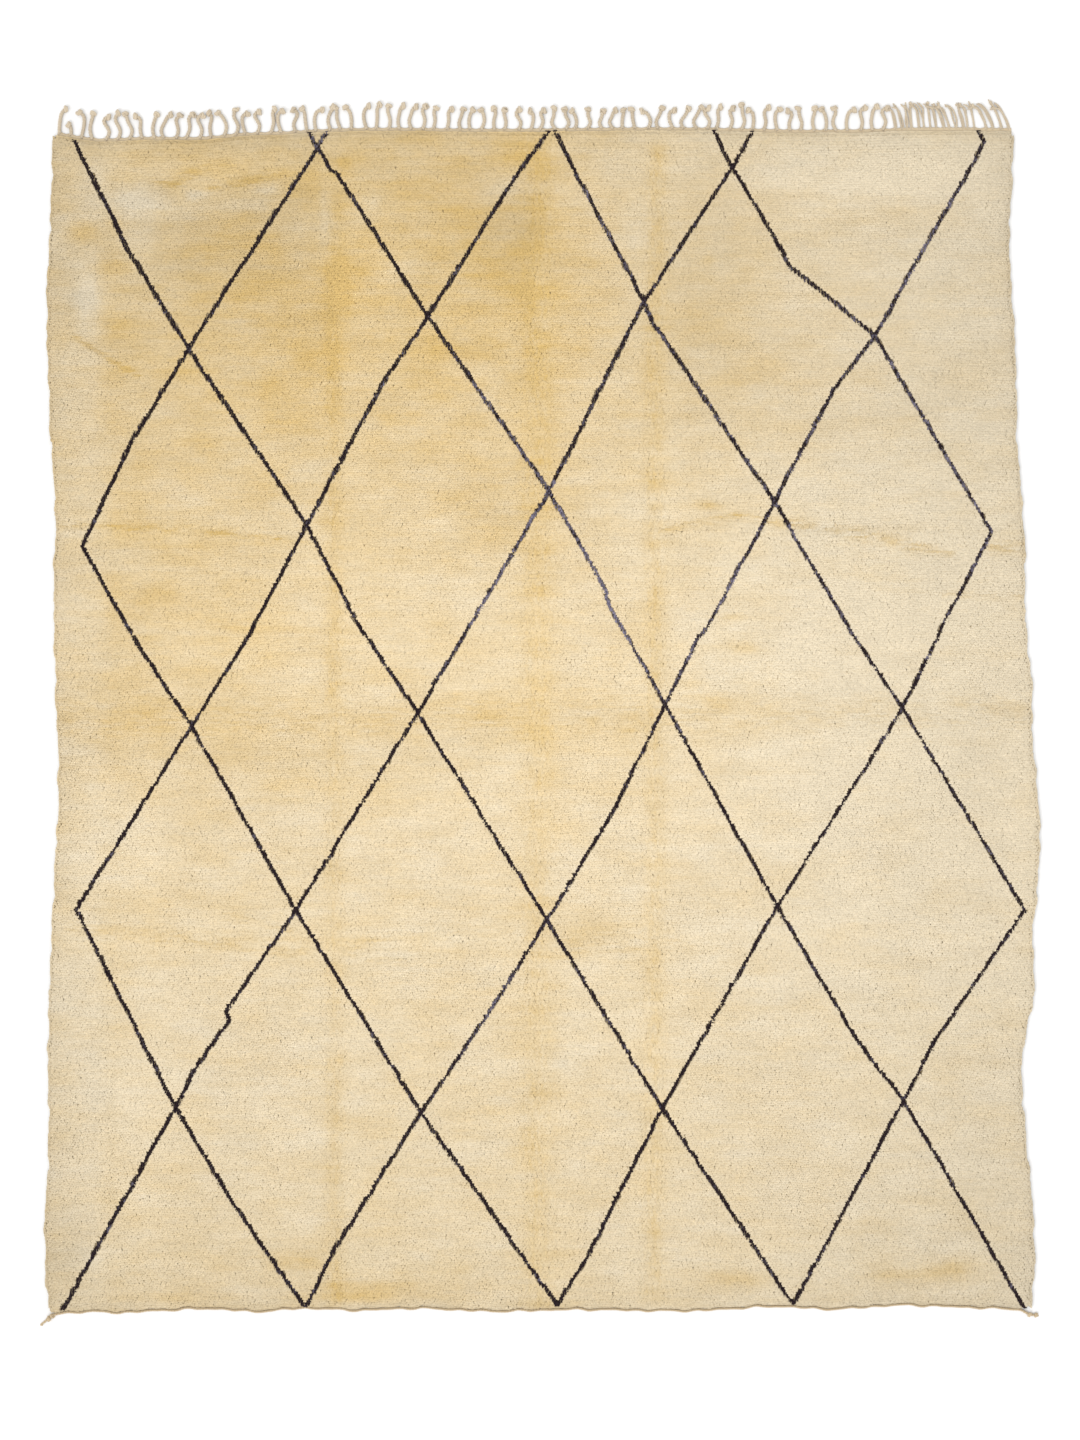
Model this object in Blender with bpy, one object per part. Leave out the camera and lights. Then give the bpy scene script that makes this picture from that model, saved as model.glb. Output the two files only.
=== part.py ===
"""A beni ourain rug lying flat: a knotted wool field, a fringed end band and a corded plain end.

Metres, +Z up. The rug lies on z = 0 and its field is centred on the origin.
+Y points to the fringed end, and the plain end with the sewn cord is at -Y.
"""

import math
from dataclasses import dataclass

import bmesh
import bpy
import numpy as np
from mathutils import Vector, noise

NAME = "beni_ourain_rug"
SEED = 11

# The field: a woven ground with its pile, taken as one lumpy slab.
WIDTH = 3.04  # side to side, before the edges wander
LENGTH = 3.66  # end to end, before the edges wander
THICKNESS = 0.018  # floor to the tips of the pile
CELLS_ACROSS = 36
CELLS_DOWN = 50
RIM_STEPS = (0.0, 0.012, 0.036)  # the first rows of the pile, measured in from the edge
RIM_FALL = (0.20, 0.04, 0.0)  # how much lower those rows are, as a share of the thickness
LUMP_HEIGHT = 0.0016
LUMP_SIZE = 0.42
SMALL_LUMP_HEIGHT = 0.0008
SMALL_LUMP_SIZE = 0.155
RIM_LUMP = 0.0015  # how far a lock of the rim leans in or out

# The corners' radii: at the left or right side, and at the plain or fringed end.
CORNER_RADII = {
    ("left", "fringed"): 0.024,
    ("right", "fringed"): 0.018,
    ("left", "plain"): 0.010,
    ("right", "plain"): 0.018,
}

# Under the rim's top row the pile bulges out and tucks back in to the ground weave.
# Metres in from the outline, height as a share of the thickness.
RIM_INSET = 0.004
RIM_PROFILE = (
    (0.0, 0.52),
    (0.0015, 0.20),
    (0.002, 0.0),
)

# How the left side wanders: metres down from the fringed end, metres out from the side line.
LEFT_SIDE = (
    (0.00, -0.004),
    (0.20, 0.000),
    (0.52, 0.014),
    (0.83, 0.007),
    (0.99, 0.000),
    (1.14, -0.012),
    (1.39, -0.007),
    (1.72, -0.013),
    (2.05, -0.022),
    (2.27, -0.012),
    (2.48, -0.001),
    (2.83, 0.010),
    (3.19, 0.010),
    (3.41, 0.021),
    (3.56, 0.017),
    (3.66, 0.008),
)

# The right side, in the same way.
RIGHT_SIDE = (
    (0.00, -0.050),
    (0.19, -0.060),
    (0.37, -0.066),
    (0.55, -0.055),
    (0.79, -0.044),
    (0.97, -0.042),
    (1.13, -0.028),
    (1.33, -0.017),
    (1.47, -0.018),
    (1.73, 0.004),
    (1.89, 0.006),
    (2.10, 0.026),
    (2.32, 0.024),
    (2.46, 0.008),
    (2.73, 0.003),
    (2.82, -0.020),
    (3.05, -0.021),
    (3.20, -0.006),
    (3.52, 0.012),
    (3.66, 0.002),
)

# The fringed end: metres across from the middle, metres out from the end line.
FRINGED_END = (
    (-1.50, -0.010),
    (-1.40, -0.027),
    (-1.22, -0.024),
    (-1.04, -0.023),
    (-0.94, -0.013),
    (-0.80, -0.007),
    (-0.65, 0.001),
    (-0.13, 0.001),
    (0.47, 0.005),
    (0.84, -0.002),
    (1.27, 0.004),
    (1.45, 0.002),
)

# The plain end, in the same way.
PLAIN_END = (
    (-1.50, 0.005),
    (-1.42, -0.001),
    (-1.30, 0.001),
    (-1.17, -0.006),
    (-1.00, -0.010),
    (-0.90, -0.002),
    (-0.74, -0.012),
    (-0.57, -0.006),
    (-0.40, -0.012),
    (-0.14, -0.003),
    (0.07, -0.008),
    (0.48, -0.005),
    (0.77, -0.017),
    (0.87, -0.010),
    (1.13, -0.022),
    (1.28, -0.017),
    (1.50, -0.008),
)

# Old fold lines, as soft troughs and ridges: start x and y, end x and y, height, spread.
CREASES = (
    (-0.63, 1.80, -0.61, -1.80, -0.0012, 0.05),
    (0.00, 1.80, -0.01, -1.80, -0.0024, 0.06),
    (0.36, 1.80, 0.35, -1.80, -0.0028, 0.06),
    (-1.48, 0.58, -0.90, 0.60, 0.0020, 0.06),
    (0.43, 0.59, 1.46, 0.57, 0.0024, 0.06),
    (-1.50, -0.67, 1.50, -0.66, -0.0016, 0.06),
    (-1.24, 1.58, -0.84, 1.73, 0.0022, 0.06),
)

# The end band and the warp strands that leave it.
GAP = 0.0005  # between one piece and the next
BAND_DEPTH = 0.012
BAND_THICKNESS = 0.005
BAND_START = -1.503
BAND_STOP = 1.462
ROOT_WIDTH = 0.0075
STRAND_HEIGHT = 0.8  # a strand's height as a share of its width, as it lies
KNOT_HEIGHT = 0.55  # how much of a knot's growth in width it also has in height
SPACING = 0.004  # the room left between two neighbouring tips
PARTING_ROUNDS = 40  # how often the tips are turned away from each other

# Groups of strands: first root, last root, strands, length, width, knot, lean, sway.
# A knot of 1 doubles the width at the tip. Lean and sway are metres to the right.
STRAND_GROUPS = (
    (-1.497, -1.497, 1, 0.088, 0.0098, 0.95, 0.006, 0.004),
    (-1.461, -1.461, 1, 0.036, 0.0098, 0.90, 0.000, 0.002),
    (-1.428, 1.064, 69, 0.086, 0.0098, 0.90, 0.000, 0.009),
    (1.101, 1.228, 8, 0.084, 0.0072, 0.25, -0.016, 0.003),
    (1.253, 1.347, 6, 0.082, 0.0072, 0.25, -0.024, 0.003),
    (1.382, 1.453, 4, 0.088, 0.0080, 0.25, -0.034, 0.002),
)
ROOT_JITTER = 0.16  # as a share of the pitch
LEAN_JITTER = 0.012
LENGTH_JITTER = 0.06  # as a share of the length
LEAST_SWAY = 0.3  # as a share of the group's sway
SWAY_TURNS = (1.0, 1.5, 2.0)  # half waves from root to tip
LEAN_POWER = 1.4  # a strand leans more towards its tip

# A strand's rings: share of its length, share of its width, share of its knot.
STRAND_RINGS = (
    (0.06, 1.00, 0.0),
    (0.26, 1.00, 0.0),
    (0.46, 0.96, 0.0),
    (0.66, 0.98, 0.0),
    (0.77, 1.00, 0.35),
    (0.87, 1.00, 1.0),
    (0.95, 0.95, 0.75),
    (1.00, 0.65, 0.1),
)

# The cord along the plain end.
CORD_WIDTH = 0.0085
CORD_SIDES = 2  # bevel resolution, for eight sides

# The cord's tails past the corners, outwards: x, y, width.
TAIL_START = 0.02  # how far before a tail's first row the plain cord stops
LEFT_TAIL = (
    (-1.512, -1.8435, 0.014),
    (-1.531, -1.856, 0.018),
    (-1.540, -1.864, 0.009),
    (-1.550, -1.872, 0.008),
    (-1.556, -1.878, 0.011),
)
RIGHT_TAIL = (
    (1.511, -1.839, 0.012),
    (1.519, -1.844, 0.016),
    (1.529, -1.844, 0.009),
    (1.539, -1.845, 0.016),
    (1.547, -1.849, 0.010),
)

PILE_WOOL = (0.80, 0.66, 0.42, 1.0)
BAND_YARN = (0.66, 0.53, 0.36, 1.0)
CORD_YARN = (0.62, 0.50, 0.32, 1.0)


def through(rows, places):
    """A smooth line through a table's rows of place and value, held level past its ends."""
    at, value = np.array(rows, float).T
    slope = np.gradient(value, at)
    places = np.clip(places, at[0], at[-1])
    i = np.clip(np.searchsorted(at, places) - 1, 0, len(at) - 2)
    span = at[i + 1] - at[i]
    t = (places - at[i]) / span
    start = (1 + 2 * t) * (1 - t) ** 2 * value[i] + t * (1 - t) ** 2 * slope[i] * span
    end = t * t * (3 - 2 * t) * value[i + 1] - t * t * (1 - t) * slope[i + 1] * span
    return start + end


def stations(cells, size):
    """Where the grid's lines cross a side, from 0 to 1: close together at both rims, then even."""
    rim = np.array(RIM_STEPS) / size
    inner = np.linspace(rim[-1], 1 - rim[-1], cells - 2 * len(rim) + 3)
    return np.concatenate([rim, inner[1:-1], 1 - rim[::-1]])


def field_point(u, v, inset=0.0):
    """Where the field has the point at share u across and share v down, pulled in from the outline."""
    down = v * LENGTH
    left = -WIDTH / 2 - through(LEFT_SIDE, down) + inset
    right = WIDTH / 2 + through(RIGHT_SIDE, down) - inset
    x = left + u * (right - left)
    top = LENGTH / 2 + through(FRINGED_END, x) - inset
    bottom = -LENGTH / 2 - through(PLAIN_END, x) + inset
    y = top - v * (top - bottom)
    return round_corner(x, y, left, right, bottom, top)


def round_corner(x, y, left, right, bottom, top):
    """Draws a point of a square corner in, so that the corner becomes a quarter of a circle."""
    side = 1 if x - left > right - x else -1
    end = 1 if y - bottom > top - y else -1
    radius = CORNER_RADII["right" if side > 0 else "left", "fringed" if end > 0 else "plain"]
    centre_x = (right - radius) if side > 0 else (left + radius)
    centre_y = (top - radius) if end > 0 else (bottom + radius)
    a = side * (x - centre_x)
    b = end * (y - centre_y)
    if a <= 0 or b <= 0:
        return x, y
    pull = max(a, b) / math.hypot(a, b)
    return centre_x + side * a * pull, centre_y + end * b * pull


def crease_height(x, y):
    """How much the old fold lines raise or lower the pile at a point."""
    height = 0.0
    for x0, y0, x1, y1, depth, spread in CREASES:
        run = Vector((x1 - x0, y1 - y0))
        place = Vector((x - x0, y - y0))
        share = min(1.0, max(0.0, place.dot(run) / run.length_squared))
        off = (place - run * share).length / spread
        height += depth * math.exp(-off * off)
    return height


def pile_height(x, y):
    """The height of the pile's tips above the floor, away from the rim."""
    place = Vector((x, y, 0.0))
    lump = LUMP_HEIGHT * noise.noise(place / LUMP_SIZE)
    small = SMALL_LUMP_HEIGHT * noise.noise(place / SMALL_LUMP_SIZE)
    return THICKNESS + lump + small + crease_height(x, y)


def material(name, color, roughness):
    made = bpy.data.materials.new(name)
    made.use_nodes = True
    shader = made.node_tree.nodes["Principled BSDF"]
    shader.inputs["Base Color"].default_value = color
    shader.inputs["Roughness"].default_value = roughness
    shader.inputs["Metallic"].default_value = 0.0
    return made


def finish_mesh(bm, name, made):
    """Turns the faces outwards and makes the named object."""
    bmesh.ops.recalc_face_normals(bm, faces=bm.faces[:])
    mesh = bpy.data.meshes.new(name)
    bm.to_mesh(mesh)
    bm.free()
    mesh.materials.append(made)
    made_object = bpy.data.objects.new(name, mesh)
    bpy.data.collections[NAME].objects.link(made_object)
    return made_object


def pile_field():
    """The field: a grid shaped to the outline and the pile's relief, with a rounded lumpy rim."""
    rng = np.random.default_rng(SEED)
    across = stations(CELLS_ACROSS, WIDTH)
    down = stations(CELLS_DOWN, LENGTH)
    bm = bmesh.new()
    bmesh.ops.create_grid(bm, x_segments=CELLS_ACROSS, y_segments=CELLS_DOWN, size=0.5)
    share_u = bm.verts.layers.float.new("across")
    share_v = bm.verts.layers.float.new("down")
    for vert in bm.verts:
        i = round((vert.co.x + 0.5) * CELLS_ACROSS)
        j = round((0.5 - vert.co.y) * CELLS_DOWN)
        vert[share_u], vert[share_v] = across[i], down[j]
        ring = min(i, j, CELLS_ACROSS - i, CELLS_DOWN - j, len(RIM_FALL) - 1)
        x, y = field_point(across[i], down[j], RIM_INSET if ring == 0 else 0.0)
        vert.co = (x, y, pile_height(x, y) * (1 - RIM_FALL[ring]))

    rim = [edge for edge in bm.edges if edge.is_boundary]
    for inset, share in RIM_PROFILE:
        grown = bmesh.ops.extrude_edge_only(bm, edges=rim)["geom"]
        rim = [item for item in grown if isinstance(item, bmesh.types.BMEdge)]
        for vert in (item for item in grown if isinstance(item, bmesh.types.BMVert)):
            lean = rng.uniform(0, RIM_LUMP) if share else 0.0
            x, y = field_point(vert[share_u], vert[share_v], inset + lean)
            vert.co = (x, y, THICKNESS * share)
    bmesh.ops.contextual_create(bm, geom=rim)
    return finish_mesh(bm, "pile_field", material("pile_wool", PILE_WOOL, 0.95))


def rim_line(v):
    """The field's outline along one end, as it is built: x and y at each of its corners."""
    return np.array([field_point(u, v) for u in stations(CELLS_ACROSS, WIDTH)]).T


@dataclass
class Strand:
    """A knotted warp strand: where it leaves the band, its size, and how it bends as it lies."""

    root: float
    length: float
    width: float
    knot: float
    lean: float
    sway: float
    turns: float

    def tip(self):
        return self.root + self.lean

    def knot_width(self):
        return self.width * (1 + self.knot)

    def centre(self, share, root_y):
        """A point of the middle line: it leans to the tip's shift and sways on the way."""
        swing = self.sway * math.sin(math.pi * self.turns * share) * (1 - share**3)
        x = self.root + self.lean * share**LEAN_POWER + swing
        return Vector((x, root_y + self.length * share, 0.0))

    def across(self, share, root_y, step=0.02):
        """The level direction square to the middle line, to its right."""
        ahead = self.centre(share + step, root_y) - self.centre(share - step, root_y)
        return Vector((ahead.y, -ahead.x, 0.0)).normalized()


def all_strands():
    """Every strand from left to right, with its tip clear of the next one's."""
    rng = np.random.default_rng(SEED + 1)
    made = []
    for first, last, count, length, width, knot, lean, sway in STRAND_GROUPS:
        pitch = (last - first) / max(1, count - 1)
        for k in range(count):
            wander = rng.uniform(-ROOT_JITTER, ROOT_JITTER) if 0 < k < count - 1 else 0.0
            made.append(Strand(
                root=first + pitch * (k + wander),
                length=length * (1 + rng.uniform(-LENGTH_JITTER, LENGTH_JITTER)),
                width=width,
                knot=knot,
                lean=lean + rng.uniform(-LEAN_JITTER, LEAN_JITTER),
                sway=sway * rng.choice((-1, 1)) * rng.uniform(LEAST_SWAY, 1.0),
                turns=rng.choice(SWAY_TURNS),
            ))
    for _ in range(PARTING_ROUNDS):
        for one, two in zip(made, made[1:]):
            need = (one.knot_width() + two.knot_width()) / 2 + SPACING
            short = max(0.0, need - (two.tip() - one.tip()))
            one.lean -= short / 2
            two.lean += short / 2
    return made


def draw_strand(bm, face, strand, root_y):
    """Extrudes a root face into a four-sided strand that lies on the floor."""
    right = Vector((1, 0, 0))
    for share, width_share, knot_share in STRAND_RINGS:
        face = bmesh.ops.extrude_discrete_faces(bm, faces=[face])["faces"][0]
        middle = face.calc_center_median()
        centre = strand.centre(share, root_y)
        next_right = strand.across(share, root_y)
        width = strand.width * width_share
        growth = strand.knot * knot_share
        reach = next_right * width * (1 + growth) / 2
        top = Vector((0, 0, STRAND_HEIGHT * width * (1 + KNOT_HEIGHT * growth)))
        for vert in face.verts:
            level = top if vert.co.z > middle.z else Vector()
            vert.co = centre + level + (reach if (vert.co - middle).dot(right) > 0 else -reach)
        right = next_right


def warp_fringe():
    """The end band, a narrow strip along the field, with every warp strand fused into its outer edge."""
    rim_x, rim_y = rim_line(0.0)
    strands = all_strands()
    roots = [(s.root - ROOT_WIDTH / 2, s.root + ROOT_WIDTH / 2) for s in strands]
    between = [x for x in rim_x if BAND_START < x < BAND_STOP]
    between = [x for x in between if all(x < a - GAP or x > b + GAP for a, b in roots)]
    xs = sorted([BAND_START, BAND_STOP, *between, *(x for root in roots for x in root)])

    bm = bmesh.new()
    last = len(xs) - 1
    bmesh.ops.create_grid(bm, x_segments=last, y_segments=1, size=0.5)
    for vert in bm.verts:
        x = xs[round((vert.co.x + 0.5) * last)]
        inner = np.interp(x, rim_x, rim_y) + GAP
        vert.co = (x, inner + (BAND_DEPTH if vert.co.y > 0 else 0.0), 0.0)
    grown = bmesh.ops.extrude_face_region(bm, geom=bm.faces[:])["geom"]
    raised = [item for item in grown if isinstance(item, bmesh.types.BMVert)]
    bmesh.ops.translate(bm, verts=raised, vec=(0, 0, BAND_THICKNESS))
    bmesh.ops.recalc_face_normals(bm, faces=bm.faces[:])

    facing_out = [face for face in bm.faces if face.normal.y > abs(face.normal.x) + abs(face.normal.z)]
    facing_out.sort(key=lambda face: face.calc_center_median().x)
    for strand, (start, _) in zip(strands, roots):
        face = facing_out[xs.index(start)]
        draw_strand(bm, face, strand, face.calc_center_median().y)
    return finish_mesh(bm, "warp_fringe", material("band_yarn", BAND_YARN, 0.9))


def end_cord():
    """The cord along the plain end and its corner tails, resting on the floor all the way."""
    rim_x, rim_y = rim_line(1.0)
    along = [
        (x, y - GAP - CORD_WIDTH / 2, CORD_WIDTH)
        for x, y in zip(rim_x, rim_y)
        if LEFT_TAIL[0][0] + TAIL_START < x < RIGHT_TAIL[0][0] - TAIL_START
    ]
    route = [*reversed(LEFT_TAIL), *along, *RIGHT_TAIL]
    curve = bpy.data.curves.new("end_cord", "CURVE")
    curve.dimensions = "3D"
    curve.bevel_depth = CORD_WIDTH / 2
    curve.bevel_resolution = CORD_SIDES
    curve.use_fill_caps = True
    spline = curve.splines.new("POLY")
    spline.points.add(len(route) - 1)
    for point, (x, y, width) in zip(spline.points, route):
        point.co = (x, y, width / 2, 1.0)
        point.radius = width / CORD_WIDTH
    curve.materials.append(material("cord_yarn", CORD_YARN, 0.9))
    cord = bpy.data.objects.new("end_cord", curve)
    bpy.data.collections[NAME].objects.link(cord)
    return cord


def main():
    for item in list(bpy.data.objects):
        bpy.data.objects.remove(item)
    bpy.context.scene.collection.children.link(bpy.data.collections.new(NAME))
    pile_field()
    warp_fringe()
    end_cord()


main()
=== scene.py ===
"""The looks of a beni ourain rug that lies flat, seen from straight above.

Its cream wool pile stands tuft by tuft on a flat ground weave, with an uneven dark lattice knotted into
it. One end has a narrow woven band with twisted and knotted warp strands, and a twisted cord runs along
the other. Metres, +Z up: the rug lies on z = 0, its field is centred on the origin, and +Y points to the
fringed end.
"""

import math
from dataclasses import dataclass

import bpy
import numpy as np
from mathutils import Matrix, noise


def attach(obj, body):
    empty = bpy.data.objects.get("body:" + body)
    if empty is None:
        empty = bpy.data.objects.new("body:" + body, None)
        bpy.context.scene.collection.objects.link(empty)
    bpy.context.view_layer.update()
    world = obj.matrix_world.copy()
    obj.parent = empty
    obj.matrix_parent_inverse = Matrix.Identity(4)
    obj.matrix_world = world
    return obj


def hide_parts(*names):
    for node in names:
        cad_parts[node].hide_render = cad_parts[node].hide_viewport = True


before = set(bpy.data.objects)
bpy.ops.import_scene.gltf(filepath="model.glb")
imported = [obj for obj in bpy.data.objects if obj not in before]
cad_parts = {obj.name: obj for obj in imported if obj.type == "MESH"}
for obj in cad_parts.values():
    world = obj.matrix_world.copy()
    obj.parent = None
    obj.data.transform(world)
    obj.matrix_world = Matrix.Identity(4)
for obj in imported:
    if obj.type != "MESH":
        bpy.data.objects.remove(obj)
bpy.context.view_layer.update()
bpy.ops.object.select_all(action="DESELECT")

SEED = 11
METRES_PER_PIXEL = 0.00311
PHOTO_SIZE = (1080, 1440)
PHOTO_ORIGIN = (541.0, 721.5)  # the pixel that shows the middle of the field

# ---- The rug's outline and its folds ----

WIDTH = 3.04  # side to side, before the edges wander
LENGTH = 3.66  # end to end, before the edges wander
THICKNESS = 0.018  # floor to the tips of the pile
LUMP_HEIGHT = 0.0016
LUMP_SIZE = 0.42
SMALL_LUMP_HEIGHT = 0.0008
SMALL_LUMP_SIZE = 0.155

# The corners' radii: side (-1 left, 1 right), end (-1 plain, 1 fringed), radius.
CORNERS = (
    (-1, 1, 0.024), (1, 1, 0.018), (-1, -1, 0.01), (1, -1, 0.018),
)

# How the left side wanders: metres down from the fringed end, metres out from the side line.
LEFT_SIDE = (
    (0.0, -0.004), (0.2, 0.0), (0.52, 0.014), (0.83, 0.007), (0.99, 0.0), (1.14, -0.012), (1.39, -0.007),
    (1.72, -0.013), (2.05, -0.022), (2.27, -0.012), (2.48, -0.001), (2.83, 0.01), (3.19, 0.01),
    (3.41, 0.021), (3.56, 0.017), (3.66, 0.008),
)

# The right side, in the same way.
RIGHT_SIDE = (
    (0.0, -0.05), (0.19, -0.06), (0.37, -0.066), (0.55, -0.055), (0.79, -0.044), (0.97, -0.042),
    (1.13, -0.028), (1.33, -0.017), (1.47, -0.018), (1.73, 0.004), (1.89, 0.006), (2.1, 0.026),
    (2.32, 0.024), (2.46, 0.008), (2.73, 0.003), (2.82, -0.02), (3.05, -0.021), (3.2, -0.006),
    (3.52, 0.012), (3.66, 0.002),
)

# The fringed end: metres across from the middle, metres out from the end line.
FRINGED_END = (
    (-1.5, -0.01), (-1.4, -0.027), (-1.22, -0.024), (-1.04, -0.023), (-0.94, -0.013), (-0.8, -0.007),
    (-0.65, 0.001), (-0.13, 0.001), (0.47, 0.005), (0.84, -0.002), (1.27, 0.004), (1.45, 0.002),
)

# The plain end, in the same way.
PLAIN_END = (
    (-1.5, 0.005), (-1.42, -0.001), (-1.3, 0.001), (-1.17, -0.006), (-1.0, -0.01), (-0.9, -0.002),
    (-0.74, -0.012), (-0.57, -0.006), (-0.4, -0.012), (-0.14, -0.003), (0.07, -0.008), (0.48, -0.005),
    (0.77, -0.017), (0.87, -0.01), (1.13, -0.022), (1.28, -0.017), (1.5, -0.008),
)

# The small ripples of the plain end and of the sides: height, length and start of each.
PLAIN_RIPPLES = ((0.0017, 0.093, 0.4), (0.0012, 0.061, 2.1), (0.0013, 0.147, 4.0))
SIDE_RIPPLES = ((0.0014, 0.083, 0.6), (0.0010, 0.056, 2.7), (0.0017, 0.139, 4.4), (0.0012, 0.223, 1.2))
RIGHT_SHIFT = 1.9  # how much later in their waves the right side's ripples start

# Old fold lines, as soft troughs and ridges: start x and y, end x and y, height, spread.
CREASES = (
    (-0.63, 1.8, -0.61, -1.8, -0.0012, 0.05), (0.0, 1.8, -0.01, -1.8, -0.0024, 0.06),
    (0.36, 1.8, 0.35, -1.8, -0.0028, 0.06), (-1.48, 0.58, -0.9, 0.6, 0.002, 0.06),
    (0.43, 0.59, 1.46, 0.57, 0.0024, 0.06), (-1.5, -0.67, 1.5, -0.66, -0.0016, 0.06),
    (-1.24, 1.58, -0.84, 1.73, 0.0022, 0.06),
)

# Lines that folding and treading left in the pile: start x and y, end x and y, reach above and
# below the line, how much more golden, and how far the tips are raised.
MARKS = (
    (-0.645, 1.6, -0.64, -1.8, 0.032, 0.032, 0.3, -0.0003),
    (-0.012, 1.82, -0.012, -1.8, 0.058, 0.058, 0.34, -0.0003),
    (0.355, 1.75, 0.35, -1.75, 0.035, 0.035, 0.38, -0.0003),
    (0.37, 0.6, 0.605, 0.645, 0.014, 0.014, 0.4, -0.001),
    (0.605, 0.645, 0.925, 0.602, 0.013, 0.013, 0.56, -0.0016),
    (0.925, 0.602, 1.06, 0.575, 0.018, 0.018, 0.62, -0.0009),
    (1.06, 0.575, 1.27, 0.525, 0.016, 0.016, 0.46, -0.001),
    (1.4, 0.55, 1.51, 0.54, 0.02, 0.02, 0.4, -0.0012),
    (1.25, 0.4, 1.5, 0.395, 0.01, 0.01, 0.3, -0.001),
    (-1.49, 0.615, -1.1, 0.6, 0.011, 0.011, 0.4, -0.001),
    (-1.1, 0.6, -0.72, 0.565, 0.01, 0.01, 0.35, -0.001),
    (-1.44, -0.645, -0.76, -0.72, 0.045, 0.012, 0.24, -0.0004),
    (-0.98, -0.6, -0.78, -0.64, 0.014, 0.014, 0.26, -0.0006),
    (-0.6, -0.68, 0.01, -0.64, 0.03, 0.014, 0.18, -0.0004),
    # The wrinkles near the left of the fringed end: their gold, above the line only, is painted shade
    # beside their raised ridges.
    (-1.2, 1.668, -1.135, 1.67, 0.026, 0.005, 0.36, 0.0006),
    (-1.135, 1.67, -1.09, 1.69, 0.032, 0.004, 0.4, 0.0008),
    (-1.09, 1.69, -1.045, 1.715, 0.022, 0.004, 0.34, 0.0006),
    (-1.026, 1.66, -0.955, 1.67, 0.012, 0.006, 0.28, 0.0004),
    (-0.955, 1.67, -0.868, 1.687, 0.018, 0.004, 0.44, 0.0008),
    (-0.868, 1.687, -0.798, 1.7, 0.022, 0.004, 0.36, 0.0006),
    (-1.45, 1.2, -1.25, 1.08, 0.01, 0.01, 0.45, -0.0008),
    (-1.48, 0.0, 1.5, 0.03, 0.075, 0.055, 0.2, 0.0),
    (0.02, -0.735, 0.35, -0.697, 0.09, 0.004, 0.24, 0.0003),
    (-0.6, -0.722, -0.39, -0.765, 0.06, 0.004, 0.18, 0.0003),
)


def through(rows, places):
    """A smooth line through a table's rows of place and value, held level past its ends."""
    at, value = np.array(rows, float).T
    slope = np.gradient(value, at)
    places = np.clip(places, at[0], at[-1])
    i = np.clip(np.searchsorted(at, places) - 1, 0, len(at) - 2)
    span = at[i + 1] - at[i]
    t = (places - at[i]) / span
    start = (1 + 2 * t) * (1 - t) ** 2 * value[i] + t * (1 - t) ** 2 * slope[i] * span
    end = t * t * (3 - 2 * t) * value[i + 1] - t * t * (1 - t) * slope[i + 1] * span
    return start + end


def rippled(ripples, places, shift=0.0):
    """How far a table's ripples move an edge at each place along it."""
    turn = 2 * np.pi * places
    return sum(rise * np.sin(turn / length + start + shift) for rise, length, start in ripples)


def side_lines(y):
    """The x of the left and the right side at a height y."""
    down = LENGTH / 2 - y
    left = through(LEFT_SIDE, down) + rippled(SIDE_RIPPLES, down)
    right = through(RIGHT_SIDE, down) + rippled(SIDE_RIPPLES, down, RIGHT_SHIFT)
    return -WIDTH / 2 - left, WIDTH / 2 + right


def end_lines(x):
    """The y of the plain and the fringed end at a place x."""
    plain = through(PLAIN_END, x) - rippled(PLAIN_RIPPLES, x)
    return -LENGTH / 2 - plain, LENGTH / 2 + through(FRINGED_END, x)


def field_points(u, v, inset):
    """Where the field has the points at share u across and share v down, pulled in from the outline."""
    left, right = side_lines(LENGTH / 2 - v * LENGTH)
    left, right = left + inset, right - inset
    x = left + u * (right - left)
    bottom, top = end_lines(x)
    bottom, top = bottom + inset, top - inset
    y = top - v * (top - bottom)
    for side, end, radius in CORNERS:
        centre_x = (right if side > 0 else left) - side * radius
        centre_y = (top if end > 0 else bottom) - end * radius
        a = side * (x - centre_x)
        b = end * (y - centre_y)
        beyond = (a > 0) & (b > 0)
        pull = np.maximum(a, b) / np.where(beyond, np.hypot(a, b), 1.0)
        x = np.where(beyond, centre_x + side * a * pull, x)
        y = np.where(beyond, centre_y + end * b * pull, y)
    return x, y


def unit(ways):
    """Directions brought to a length of 1."""
    return ways / np.linalg.norm(ways, axis=-1, keepdims=True)


def run_along(points):
    """How far along a line each of its points is."""
    return np.concatenate([[0.0], np.cumsum(np.linalg.norm(np.diff(points, axis=0), axis=1))])


def soft_noise(x, y, across, along, layer=0.0):
    """Smooth noise from -1 to 1 with patches of that size. Each layer is a pattern of its own."""
    places = zip((np.ravel(x) / across).tolist(), (np.ravel(y) / along).tolist())
    return np.array([noise.noise((a, b, layer)) for a, b in places]).reshape(np.shape(x))


def off_segment(x, y, x0, y0, x1, y1):
    """The way in x and y from a straight segment to each point."""
    run_x, run_y = x1 - x0, y1 - y0
    share = ((x - x0) * run_x + (y - y0) * run_y) / (run_x**2 + run_y**2)
    share = np.clip(share, 0.0, 1.0)
    return x - x0 - share * run_x, y - y0 - share * run_y


def near_folds(x, y, breadth=1.0):
    """Each old fold line's height, and how near each point is to it, from 0 to 1."""
    for x0, y0, x1, y1, height, spread in CREASES:
        off_x, off_y = off_segment(x, y, x0, y0, x1, y1)
        yield height, np.exp(-(off_x**2 + off_y**2) / (breadth * spread) ** 2)


def crease_height(x, y):
    """How much the old fold lines raise or lower the rug at a point."""
    return sum(height * near for height, near in near_folds(x, y))


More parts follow.
